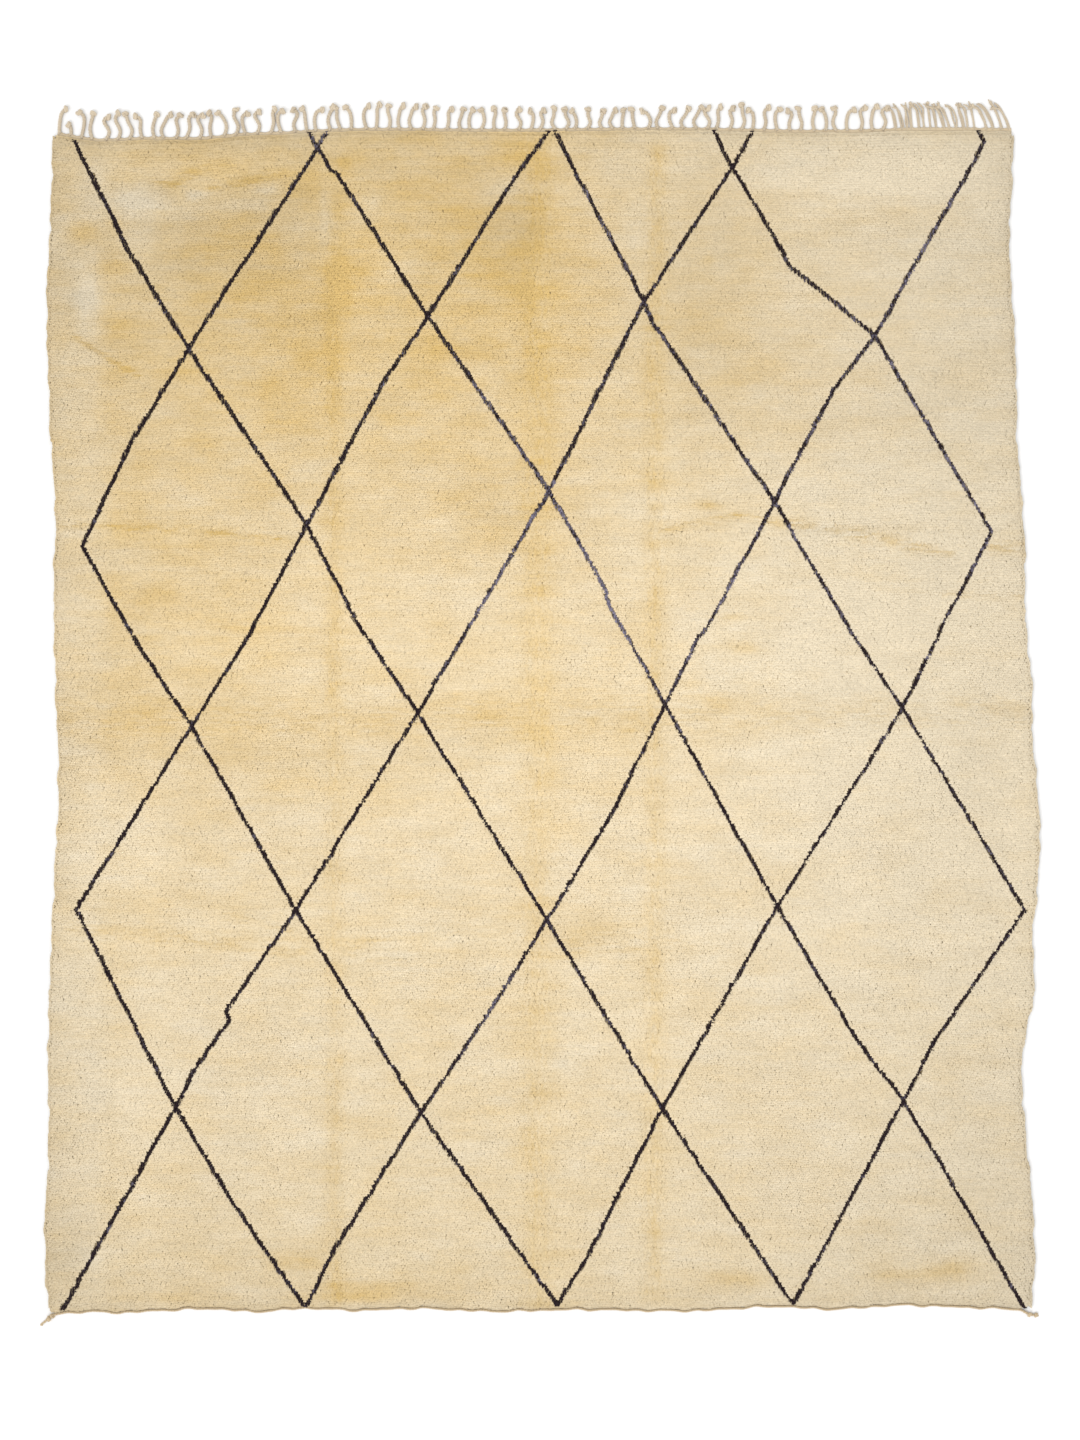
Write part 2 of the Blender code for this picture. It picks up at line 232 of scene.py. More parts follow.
# How marks are broken up, across and down the rug: size of the fine breaks, size of the broad ones,
# strength of each.
DASHES = (0.060, 0.0065, 0.16, 0.03, 1.6, 0.5)
FEATHERS = (0.010, 0.040, 0.06, 0.22, 0.8, 0.5)
MARK_END = 2.5  # how many times its reach a mark runs on from its line
MARK_FULLNESS = 0.9  # how strong a mark is where nothing breaks it up
MARK_MOST = 2.0
MARK_LAYER = 3.1  # from one mark's noise to the next one's
BROAD_LAYER = 1.5  # from a mark's fine noise to its broad one


def marked(x, y):
    """What the marks in the pile add at each point: gold, partly painted shade, and how far they raise its
    tips.

    Those that run across the rug show in dashes along its rows, those down it in short feathers. Where
    two meet, the stronger one shows.
    """
    gold, rise = np.zeros(np.shape(x)), np.zeros(np.shape(x))
    for k, (x0, y0, x1, y1, above, below, gold_and_painted_shade, height) in enumerate(MARKS):
        *sizes, fine_share, broad_share = DASHES if abs(x1 - x0) > abs(y1 - y0) else FEATHERS
        off_x, off_y = off_segment(x, y, x0, y0, x1, y1)
        off = np.hypot(off_x, off_y) / np.where(off_y > 0, above, below)
        near = off < MARK_END
        layer = k * MARK_LAYER
        fine = fine_share * soft_noise(x[near], y[near], *sizes[:2], layer)
        broad = broad_share * soft_noise(x[near], y[near], *sizes[2:], layer + BROAD_LAYER)
        share = np.exp(-(off[near] ** 2)) * np.clip(MARK_FULLNESS + fine + broad, 0, MARK_MOST)
        gold[near] = np.maximum(gold[near], gold_and_painted_shade * share)
        rise[near] = np.where(share * abs(height) > abs(rise[near]), height * share, rise[near])
    return gold, rise


def pile_height(x, y):
    """The height of the pile's tips above the floor, away from the rim."""
    lump = LUMP_HEIGHT * soft_noise(x, y, LUMP_SIZE, LUMP_SIZE)
    small = SMALL_LUMP_HEIGHT * soft_noise(x, y, SMALL_LUMP_SIZE, SMALL_LUMP_SIZE)
    return THICKNESS + lump + small + crease_height(x, y)


# ---- Camera, floor and light ----

CAMERA_HEIGHT = 10.0
CAMERA_SIGHT = 200.0
SENSOR = 36.0
FLOOR_SIZE = 60.0
FLOOR_DROP = 0.0004
FLOOR_WHITE = (0.82, 0.82, 0.82, 1.0)
SKY_STRENGTH = 1.05
SUN_STRENGTH = 1.30
SUN_SOFTNESS = math.radians(50)
SUN_TILT = (math.radians(28), math.radians(-22), 0.0)


def new_object(name, data):
    """A new object in the scene, from its mesh, camera or lamp."""
    made = bpy.data.objects.new(name, data)
    bpy.context.scene.collection.objects.link(made)
    return made


def camera():
    """A camera straight above the rug that frames it as the photograph does."""
    data = bpy.data.cameras.new("camera")
    data.sensor_width = SENSOR
    data.lens = SENSOR * CAMERA_HEIGHT / (PHOTO_SIZE[1] * METRES_PER_PIXEL)
    data.clip_end = CAMERA_SIGHT
    made = new_object("camera", data)
    x = (PHOTO_SIZE[0] / 2 - PHOTO_ORIGIN[0]) * METRES_PER_PIXEL
    y = (PHOTO_ORIGIN[1] - PHOTO_SIZE[1] / 2) * METRES_PER_PIXEL
    made.location = (x, y, CAMERA_HEIGHT)
    bpy.context.scene.camera = made


def floor():
    """A plain white floor under the rug."""
    bpy.ops.mesh.primitive_plane_add(size=FLOOR_SIZE, location=(0, 0, -FLOOR_DROP))
    made = bpy.context.object
    made.name = "floor"
    paint = bpy.data.materials.new("floor_white")
    paint.use_nodes = True
    shader = paint.node_tree.nodes["Principled BSDF"]
    shader.inputs["Base Color"].default_value = FLOOR_WHITE
    shader.inputs["Roughness"].default_value = 1.0
    made.data.materials.append(paint)


def light():
    """Even white light from all round, and a large soft light from above and to the left."""
    world = bpy.data.worlds.new("sky")
    world.use_nodes = True
    sky = world.node_tree.nodes["Background"]
    sky.inputs["Color"].default_value = (1.0, 1.0, 1.0, 1.0)
    sky.inputs["Strength"].default_value = SKY_STRENGTH
    bpy.context.scene.world = world
    lamp = bpy.data.lights.new("soft_light", "SUN")
    lamp.energy = SUN_STRENGTH
    lamp.angle = SUN_SOFTNESS
    new_object("soft_light", lamp).rotation_euler = SUN_TILT
    bpy.context.scene.view_settings.view_transform = "Standard"


# ---- Shader nodes ----


class Wire:
    """One output of a finish's nodes. Arithmetic on it adds Math nodes."""

    def __init__(self, finish, socket):
        self.finish = finish
        self.socket = socket

    def math(self, operation, *operands, **settings):
        inputs = dict(enumerate(operands))
        return self.finish.add("ShaderNodeMath", {"operation": operation, **settings}, inputs)

    def __add__(self, other):
        return self.math("ADD", self, other)

    def __sub__(self, other):
        return self.math("SUBTRACT", self, other)

    def __rsub__(self, other):
        return self.math("SUBTRACT", other, self)

    def __mul__(self, other):
        return self.math("MULTIPLY", self, other)

    __radd__ = __add__
    __rmul__ = __mul__

    def clamped(self):
        return self.math("ADD", self, 0.0, use_clamp=True)

    def ramp(self, low, high):
        """0 at low and 1 at high, with soft ends."""
        settings = {"interpolation_type": "SMOOTHSTEP"}
        return self.finish.add("ShaderNodeMapRange", settings, {0: self, 1: low, 2: high})


WOOL = {"Roughness": 0.95, "Sheen Roughness": 0.6, "Specular IOR Level": 0.2}
RIB_SCALE = 0.314  # of a Wave Texture that has one rib to the metre


class Finish:
    """A wool finish in the making: one shader, and the nodes that feed it."""

    def __init__(self, name, sheen):
        self.material = bpy.data.materials.new(name)
        self.material.use_nodes = True
        self.tree = self.material.node_tree
        self.shader = self.tree.nodes["Principled BSDF"]
        for socket, value in {**WOOL, "Sheen Weight": sheen}.items():
            self.shader.inputs[socket].default_value = value
        self.place = self.add("ShaderNodeTexCoord", output="Object")

    def plug(self, socket, value):
        if isinstance(value, Wire):
            self.tree.links.new(value.socket, socket)
        else:
            socket.default_value = value

    def add(self, kind, settings=None, inputs=None, output=0):
        """Adds a node, with its settings first and then its inputs, and gives one of its outputs."""
        node = self.tree.nodes.new(kind)
        for name, value in (settings or {}).items():
            setattr(node, name, value)
        for key, value in (inputs or {}).items():
            self.plug(node.inputs[key], value)
        return Wire(self, node.outputs[output])

    def attribute(self, name):
        return self.add("ShaderNodeAttribute", {"attribute_name": name}, output="Fac")

    def patches(self, across, along, detail=2.0, shift=0.0, high=None):
        """Soft noise from 0 to 1 with patches of that size in metres."""
        size = (1 / across, 1 / along, 1 / (high or min(across, along)))
        scaled = {0: self.place, 1: size, 2: (shift, shift, shift)}
        place = self.add("ShaderNodeVectorMath", {"operation": "MULTIPLY_ADD"}, scaled)
        return self.add("ShaderNodeTexNoise", None, {"Vector": place, "Scale": 1.0, "Detail": detail})

    def uneven(self, value, rows):
        """A value with patches of several sizes added: in each row, how strong, then what patches takes."""
        for strength, *patch in rows:
            value = value + strength * (self.patches(*patch) - 0.5)
        return value

    def ribs(self, direction, pitch, distortion):
        """The ribs of a weave, from 0 to 1."""
        inputs = {"Vector": self.place, "Scale": RIB_SCALE / pitch, "Distortion": distortion,
                  "Detail": 2.0, "Detail Scale": 30.0}
        return self.add("ShaderNodeTexWave", {"bands_direction": direction}, inputs)

    def mix(self, one, two, share, blend="MIX"):
        settings = {"data_type": "RGBA", "blend_type": blend}
        return self.add("ShaderNodeMix", settings, {0: share, 6: one, 7: two}, output=2)

    def shade(self, colour, share):
        """A colour multiplied by a share that changes over the surface."""
        grey = self.add("ShaderNodeCombineColor", None, {0: share, 1: share, 2: share})
        return self.mix(colour, grey, 1.0, "MULTIPLY")

    def bump(self, height, distance, strength):
        inputs = {"Height": height, "Distance": distance, "Strength": strength}
        self.plug(self.shader.inputs["Normal"], self.add("ShaderNodeBump", None, inputs))

    def colour(self, value):
        self.plug(self.shader.inputs["Base Color"], value)


# ---- Finishes ----

CREAM = (0.748, 0.645, 0.472, 1.0)
DEEP_GOLD = (0.645, 0.446, 0.160, 1.0)
GOLD_SHARE = 0.75  # of the way to deep gold, where the wool is as golden as 1
# A brown painted as shade deep in the pile: at the tufts' roots and in the weave's gaps.
PAINTED_ROOT_SHADE = (0.64, 0.50, 0.30, 1.0)
FLECK_BROWN = (0.16, 0.11, 0.06, 1.0)
INK = (0.022, 0.012, 0.015, 1.0)
SLATE = (0.258, 0.234, 0.308, 1.0)
FLECK_TONES = (0.99985, 0.99995)  # the knots' tones that are flecks, of 0 to 1
FLECK_STRENGTH = 0.35
ROOT_UNSHADED = 0.65  # painted shade at a tuft's root: how much of its tips' colour it keeps there
TONE_STRENGTH = 0.07

# Golden pools and, where the last number is below nought, pale ones: x, y, half width, half length,
# how much more golden.
POOLS = (
    (-0.45, 1.35, 0.9, 0.62, 0.62), (-0.28, 1.4, 0.6, 0.45, 0.14), (-1.15, 0.25, 0.34, 0.34, 0.24),
    (-1.05, -1.15, 0.55, 0.65, -0.26), (-0.3, -0.45, 0.7, 0.35, -0.08), (0.15, 0.1, 0.4, 0.5, 0.08),
    (1.0, 0.1, 0.5, 0.75, -0.18), (-1.24, 1.63, 0.1, 0.05, -0.65), (-1.27, 1.5, 0.09, 0.11, -0.5),
    (-1.13, 1.57, 0.08, 0.04, -0.16), (-1.07, 1.64, 0.045, 0.018, -0.7), (-0.93, 1.62, 0.1, 0.032, -0.46),
    (-0.84, 1.66, 0.05, 0.014, -0.6), (-0.75, 1.53, 0.055, 0.1, -0.35), (-0.67, 1.57, 0.03, 0.11, -0.55),
    (-0.52, 1.62, 0.034, 0.022, -0.45), (-1.03, 1.32, 0.12, 0.045, -0.18), (-1.2, 1.27, 0.06, 0.09, -0.12),
    (-1.41, 1.32, 0.04, 0.12, -0.6), (-1.38, 1.68, 0.05, 0.055, -0.35), (-1.34, 1.42, 0.07, 0.028, 0.5),
    (-1.42, 1.53, 0.045, 0.04, 0.45), (-1.1, 1.75, 0.07, 0.025, 0.1), (-0.93, 1.74, 0.09, 0.025, 0.16),
    (-0.61, 1.73, 0.035, 0.035, 0.35), (-0.61, 1.36, 0.03, 0.15, 0.2), (-0.08, 1.76, 0.06, 0.05, 0.35),
    (-0.12, 1.46, 0.1, 0.08, 0.3), (0.37, 1.76, 0.03, 0.05, 0.35), (0.52, 1.43, 0.03, 0.03, 0.3),
    (0.3, 1.55, 0.06, 0.12, -0.2), (0.52, 0.68, 0.04, 0.015, 0.5), (0.59, 0.33, 0.035, 0.014, 0.45),
    (0.63, 0.24, 0.06, 0.022, 0.5), (0.54, 0.06, 0.05, 0.03, 0.35), (-0.76, -1.67, 0.09, 0.03, 0.55),
    (-0.56, -1.77, 0.2, 0.03, 0.5), (1.12, -1.72, 0.1, 0.03, 0.55), (1.29, -1.7, 0.08, 0.04, 0.6),
    (0.57, -1.72, 0.1, 0.03, 0.4), (-0.12, 0.01, 0.16, 0.08, 0.34), (0.74, 0.04, 0.22, 0.05, 0.16),
    (-0.55, -0.16, 0.52, 0.1, 0.16), (-0.6, 1.56, 0.07, 0.07, -0.22), (-0.86, 0.9, 0.16, 0.14, 0.14),
    (0.28, 0.85, 0.34, 0.19, 0.17), (0.62, 1.27, 0.16, 0.22, 0.28), (-0.44, 1.42, 0.12, 0.2, -0.36),
    (-0.6, 1.02, 0.1, 0.18, -0.22), (-0.12, 1.3, 0.1, 0.15, 0.14), (-0.12, 0.66, 0.16, 0.12, 0.26),
    (0.1, -0.62, 0.14, 0.07, 0.22), (0.92, 1.0, 0.28, 0.12, 0.16), (-0.22, -0.58, 0.12, 0.06, 0.15),
    (-1.28, -0.33, 0.16, 0.16, -0.18), (-1.3, -1.2, 0.18, 0.35, -0.1), (1.1, 1.72, 0.4, 0.1, -0.26),
    (0.7, 1.72, 0.15, 0.06, -0.12),
)

# Where the wool is painted lighter than round about and, where the last number is below nought, darker:
# pools of painted light and painted shade, with painted shade along the fold lines.
PAINTED_LIGHT_AND_SHADE = (
    (-0.9, 1.6, 0.5, 0.35, -0.09), (-1.08, 1.72, 0.32, 0.07, 0.12), (-0.55, 1.48, 0.14, 0.25, 0.08),
    (-0.1, 1.52, 0.12, 0.15, -0.08), (0.5, 1.3, 0.2, 0.45, -0.07), (1.15, 1.7, 0.42, 0.12, 0.085),
    (-0.15, 0.64, 0.14, 0.12, -0.04), (-0.2, -0.05, 0.2, 0.06, -0.05), (-0.85, -0.1, 0.6, 0.05, -0.05),
    (-1.28, -0.4, 0.16, 0.28, 0.06), (-1.25, -1.3, 0.15, 0.5, 0.06), (0.1, -0.66, 0.22, 0.06, -0.02),
    (1.52, -0.4, 0.07, 1.2, 0.05), (0.0, 0.15, 0.9, 0.45, 0.045), (0.93, 0.6, 0.24, 0.03, -0.06),
    (0.375, 0.1, 0.03, 0.35, -0.05), (1.08, 0.98, 0.34, 0.22, -0.04), (-1.0, 0.25, 0.4, 0.18, 0.04),
    (-1.46, 1.36, 0.05, 0.16, -0.06), (-1.46, -1.66, 0.08, 0.1, -0.06),
)

# Where the dark wool is slate rather than black: x, y, half width, half length, how much.
SLATE_POOLS = (
    (0.15, 0.4, 0.55, 0.36, 1.12), (1.17, 0.72, 0.35, 0.5, 0.82), (-0.16, 1.0, 0.25, 0.35, 0.48),
    (-0.17, -0.9, 0.28, 0.35, 0.54), (0.55, 1.05, 0.25, 0.35, 0.36), (1.3, -0.25, 0.3, 0.35, 0.2),
    (-0.7, 1.8, 0.05, 0.05, 0.6), (1.22, 1.5, 0.25, 0.4, 0.55), (0.18, 1.6, 0.2, 0.32, 0.48),
)
SLATE_LEAST = -0.36
SLATE_SPREAD = 0.90  # between one knot and the next

# Patches in the wool, coarse to fine: how strong, size across and along, detail, shift, and height
# where it isn't the smaller of the two sizes.
FIBRES = (0.0009, 0.0070, 1.0, 6.0, 0.0070)
GOLD_PATCHES = ((1.10, 0.20, 0.085, 4.0), (0.52, 0.45, 0.020, 3.0, 3.0), (0.50, 0.060, 0.028, 3.0, 7.0))
LIGHT_PATCHES = ((0.15, 0.13, 0.060, 4.0, 5.0), (0.12, 0.05, 0.0085, 1.0, 9.0), (0.40, *FIBRES))
SLATE_PATCHES = ((2.2, 0.05, 0.035, 3.0, 2.0), (0.5, *FIBRES))
WEAVE_PATCHES = ((0.8, 0.5, 0.2, 4.0),)
RELIEF_FIBRES = (0.0008, 0.0060, 2.0, 0.0, 0.0060)
RELIEF = (0.0009, 0.9)  # the fibres' height and strength
PALE_PATCHES = 0.72  # how much the gold patches count on pale wool, and how much more on golden wool
GOLDEN_PATCHES = 0.45
WEAVE_GOLD = 0.35
WEFT_SHARE = 0.6  # of the weave's relief
WEAVE_UNSHADED = (0.35, 0.6)  # painted shade in the weave's gaps: how much of the cream shows between its ribs, and how much more on them
WEAVE_RELIEF = (0.0012, 0.8)

GOLD_LEVEL = 0.34  # in the middle
GOLD_FALL = 0.17  # for each metre to the right
PALE_SIDE = 0.22  # how much less golden the left side is
PALE_SIDE_START = -1.33
PALE_SIDE_SPAN = 0.06
# Painted light: the wool is painted lightest at one place and darker towards the ends and sides, as the
# light falls off.
LIGHT_LEVEL = 1.008
LIGHT_FALL = 0.108  # painted light falloff: how much darker the wool is painted at LIGHT_REACH to the side or down from its lightest place
LIGHT_REACH = (1.5, 1.8)
LIGHT_MIDDLE = 0.15  # how far that place is to the left
RAGGED = 0.35  # how far a pool's edges stray, as a share of its half width
RAGGED_SIZE = 0.9  # of their patches, as a share of the pool's half sizes
# painted shade along the marks, for each unit of their gold
MARK_PAINTED_SHADE = 0.10
# Painted shade along the rim: how much darker the wool is painted at the outline, and the room over which
# that fades.
RIM_PAINTED_SHADE = 0.055
RIM_PAINTED_SHADE_REACH = 0.035


def pooled(pools, x, y):
    """What a table of pools with ragged edges adds at each point."""
    total = 0.0
    for at_x, at_y, half_width, half_length, more in pools:
        patch = (RAGGED_SIZE * half_width, RAGGED_SIZE * half_length)
        off_x = x + RAGGED * half_width * soft_noise(x, y, *patch, at_x) - at_x
        total = total + more * np.exp(-((off_x / half_width) ** 2) - ((y - at_y) / half_length) ** 2)
    return total


def wool_gold(x, y):
    """How golden the wool is at each point, from 0 for pale cream to 1, before its fine streaks."""
    pale_side = PALE_SIDE * np.clip((PALE_SIDE_START - x) / PALE_SIDE_SPAN, 0, 1)
    return GOLD_LEVEL - GOLD_FALL * x - pale_side + pooled(POOLS, x, y)


def painted_light(x, y):
    """How light the wool is painted at each point: painted light that falls off towards the ends and sides,
    painted shade along the rim, and pooled painted light and shade.
    """
    off = ((x + LIGHT_MIDDLE) / LIGHT_REACH[0]) ** 2 + (y / LIGHT_REACH[1]) ** 2
    light = LIGHT_LEVEL - LIGHT_FALL * off + pooled(PAINTED_LIGHT_AND_SHADE, x, y)
    # painted shade along the rim
    room = np.minimum.reduce(edge_room(x, y))
    return light - RIM_PAINTED_SHADE * np.exp(-((room / RIM_PAINTED_SHADE_REACH) ** 2))


def slate_share(x, y):
    """How slate the dark wool is at each point, from 0 for black to 1."""
    return SLATE_LEAST + pooled(SLATE_POOLS, x, y)


def pile_finish():
    """Soft undyed wool, from pale cream to gold in pools and streaks, with a tone for each knot."""
    finish = Finish("cream_wool_pile", sheen=0.25)
    gold = finish.attribute("gold")
    gold = gold + (PALE_PATCHES + GOLDEN_PATCHES * gold) * finish.uneven(0.0, GOLD_PATCHES)
    # The light attribute holds painted light and shade; each knot's tone and the patches are added to it.
    light = finish.attribute("light") + TONE_STRENGTH * finish.attribute("tone")
    light = finish.uneven(light, LIGHT_PATCHES)
    colour = finish.shade(finish.mix(CREAM, DEEP_GOLD, (GOLD_SHARE * gold).clamped()), light)
    # painted shade: each tuft is darker towards its root
    colour = finish.mix(PAINTED_ROOT_SHADE, colour, ROOT_UNSHADED + (1 - ROOT_UNSHADED) * finish.attribute("tip"))
    fleck = finish.attribute("tone").ramp(*FLECK_TONES)
    finish.colour(finish.mix(colour, FLECK_BROWN, fleck * FLECK_STRENGTH))
    finish.bump(finish.patches(*RELIEF_FIBRES), *RELIEF)
    return finish.material


def lattice_finish():
    """Dark wool, from brown black to slate, in runs of a few knots."""
    finish = Finish("dark_wool_pile", sheen=0.03)
    slate = finish.uneven(finish.attribute("tone"), SLATE_PATCHES)
    finish.colour(finish.mix(INK, SLATE, slate.clamped()))
    finish.bump(finish.patches(*RELIEF_FIBRES), *RELIEF)
    return finish.material


def weave_finish():
    """The ground weave: cream wool wefts over warps, with the knots' backs in rows and painted shade
    between its ribs.
    """
    finish = Finish("ground_weave_wool", sheen=0.1)
    wefts, warps = finish.ribs("Y", ROW_PITCH, 1.0), finish.ribs("X", KNOT_PITCH, 0.6)
    relief = wefts * WEFT_SHARE + warps * (1 - WEFT_SHARE)
    gold = finish.uneven(WEAVE_GOLD, WEAVE_PATCHES)
    wool = finish.mix(CREAM, DEEP_GOLD, gold.clamped())
    # painted shade between the ribs
    finish.colour(finish.mix(PAINTED_ROOT_SHADE, wool, WEAVE_UNSHADED[0] + WEAVE_UNSHADED[1] * relief))
    finish.bump(relief, *WEAVE_RELIEF)
    return finish.material


BAND_BEIGE = (0.66, 0.55, 0.38, 1.0)
BAND_SHADE = (0.50, 0.39, 0.25, 1.0)
YARN_BEIGE = (0.60, 0.51, 0.38, 1.0)
YARN_SHADE = (0.42, 0.34, 0.24, 1.0)
CORD_BROWN = (0.56, 0.44, 0.28, 1.0)
CORD_SHADE = (0.36, 0.27, 0.16, 1.0)
YARN_FIBRES = (0.0016, 0.0045)  # the patches' size across and along
BAND_FIBRES = (0.0060, 0.0016)
YARN_LIGHTS = (0.15, 0.65, 0.35)  # how light a yarn is at least, and more by its fibres and by its ply
YARN_RELIEF = (0.0008, 0.7)


def yarn_finish(name, light_tone, dark_tone, size=YARN_FIBRES):
    """Matte hand-spun wool yarn with loose fibres and a tone for each ply."""
    finish = Finish(name, sheen=0.2)
    fibres = finish.patches(*size, detail=3.0)
    least, by_fibre, by_ply = YARN_LIGHTS
    share = least + by_fibre * fibres + by_ply * finish.attribute("tone")
    finish.colour(finish.mix(dark_tone, light_tone, share.clamped()))
    finish.bump(fibres, *YARN_RELIEF)
    return finish.material


# ---- Meshes from arrays ----


def joined_mesh(name, points, faces, material, cells, attributes, normals):
    """One mesh from arrays of points and of faces with equal corner counts, with its bake map."""
    mesh = bpy.data.meshes.new(name)
    mesh.vertices.add(len(points))
    mesh.vertices.foreach_set("co", points.astype(np.float32).ravel())
    mesh.loops.add(faces.size)
    mesh.loops.foreach_set("vertex_index", faces.astype(np.int32).ravel())
    mesh.polygons.add(len(faces))
    mesh.polygons.foreach_set("loop_start", np.arange(0, faces.size, faces.shape[1], dtype=np.int32))
    mesh.update(calc_edges=True)
    mesh.validate()
    mesh.shade_smooth()
    mesh.uv_layers.new(name="OFBake").uv.foreach_set("vector", cells.astype(np.float32).ravel())
    for label, values in attributes.items():
        layer = mesh.attributes.new(label, "FLOAT", "POINT")
        layer.data.foreach_set("value", values.astype(np.float32).ravel())
    mesh.normals_split_custom_set_from_vertices(normals.tolist())
    mesh.materials.append(material)
    return new_object(name, mesh)


# ---- The pile: every knot is a tuft with a short ridge for its two yarn ends ----

ROW_PITCH = 0.0073  # one row of knots to the next, down the rug
KNOT_PITCH = 0.0084  # one knot to the next, across the rug
ROWS = round(LENGTH / ROW_PITCH)
COLUMNS = round(WIDTH / KNOT_PITCH)
KNOT_INSET = 0.004  # from the outline to where the knots start
STAGGER = 0.25  # every other row is shifted by twice this share of a knot
KNOT_JITTER = 0.0012
JITTER_DOWN = 0.6  # the share of it down the rug
ROOT_LEVEL = 0.0035
ROOT_REACH = 0.0130  # half of a tuft's root, down the rug
ROOT_LEAST = 0.0030
ROOT_INSET = 0.001  # from the outline
RIDGE_REACH = 0.0060  # half of a tuft's ridge, across the rug
RIDGE_SHARES = (0.85, 1.12)  # the shortest and longest ridges, as shares of that
RIDGE_TURN = 0.32  # radians that a ridge may be turned
TIP_JITTER = 0.0009
TIP_DROP = 0.0006
NAP = -0.0085  # how far the pile lies towards the plain end
NAP_WANDER = 0.0032
SIDE_WANDER = 0.7  # the share of it to the sides
NAP_JITTER = 0.0009
ROW_WANDER = 0.0009
ROW_NOISE = 3.7  # from one row's noise to the next one's
# The patches in which the pile leans alike, sideways, on a fold, down the rug and along a row: their
# size across and along, and their layer of noise.
SIDE_PATCHES = (0.16, 0.12, 1.0)
FOLD_PATCHES = (0.010, 0.03, 4.0)
NAP_PATCHES = (0.22, 0.09, 2.0)
ROW_PATCHES = (0.06, 1.0, 3.0)
RIDGE_TILT = 0.25  # how far the soft normals tilt out at a ridge's ends
ROOT_TILT = 0.80
RIM = 0.015  # the breadth of the rounded rim
RIM_LEAN = 0.0030
FRINGE_LEAN_REACH = 0.05  # from the fringed end, the room in which the pile comes to lean over it
RIM_FALL = 0.0042
RIM_START = 0.014  # from the corners to where the hanging tufts start
RIM_PITCH = 0.0046
RIM_REACH = 0.0052
RIM_ROWS = ((0.0125, 0.0), (0.0078, 0.0008))  # height of each row, and how far out it hangs
RIM_FOOT = 0.0010
RIM_FOOT_INSET = 0.0016
RIM_ROOTS = (0.0060, 0.0120)  # how far in a tuft's other root is
RIM_ROOT_DROP = 0.0015
RIM_JITTER = 0.0010
RIM_SHARES = (0.75, 1.25)  # the narrowest and broadest tufts
RIM_SCALLOP = 0.0022
SCALLOP_PATCHES = (0.045, 0.045, 6.0)
RIM_PLAIN_PULL = 0.0022  # how much less far out the rim hangs at the plain end, where the cord is
PILE_STRETCHES = 4

FOLD_SPREAD = 0.6  # the unsettled pile's breadth, as a share of the fold's
FOLD_TURN = 1.0  # extra turn of the ridges on a fold line
FOLD_WANDER = 0.0035
FOLD_DROP = 0.0022
FULL_FOLD = 0.0024  # the height of a fold line that unsettles the pile as much as any


def edge_room(x, y):
    """How far a point is from each edge: left, right, plain end and fringed end."""
    left, right = side_lines(y)
    bottom, top = end_lines(x)
    return x - left, right - x, y - bottom, top - y


def unsettled(x, y):
    """How much the fold lines unsettle the pile at a point, from 0 to 1."""
    most = np.zeros(len(x))
    for height, near in near_folds(x, y, FOLD_SPREAD):
        most = np.maximum(most, min(1.0, abs(height) / FULL_FOLD) * near)
    return most


@dataclass
class Tufts:
    """Tufts of wool: the corners of each, its two ridge ends and its two root ends, and its place."""

    corners: np.ndarray
    x: np.ndarray
    y: np.ndarray

    def chosen(self, which):
        return Tufts(self.corners[which], self.x[which], self.y[which])

    def normals(self):
        """Soft normals: up on the ridge, and out to either side at the root."""
        ridge = self.corners[:, 1] - self.corners[:, 0]
        root = self.corners[:, 3] - self.corners[:, 2]
        ridge[:, 2] = root[:, 2] = 0
        ridge, root = RIDGE_TILT * unit(ridge), ROOT_TILT * unit(root)
        up = np.array([0.0, 0.0, 1.0])
        return unit(np.stack([up - ridge, up + ridge, up - root, up + root], 1))


def together(heaps):
    """Several heaps of tufts as one."""
    parts = ([getattr(heap, part) for heap in heaps] for part in ("corners", "x", "y"))
    return Tufts(*map(np.concatenate, parts))


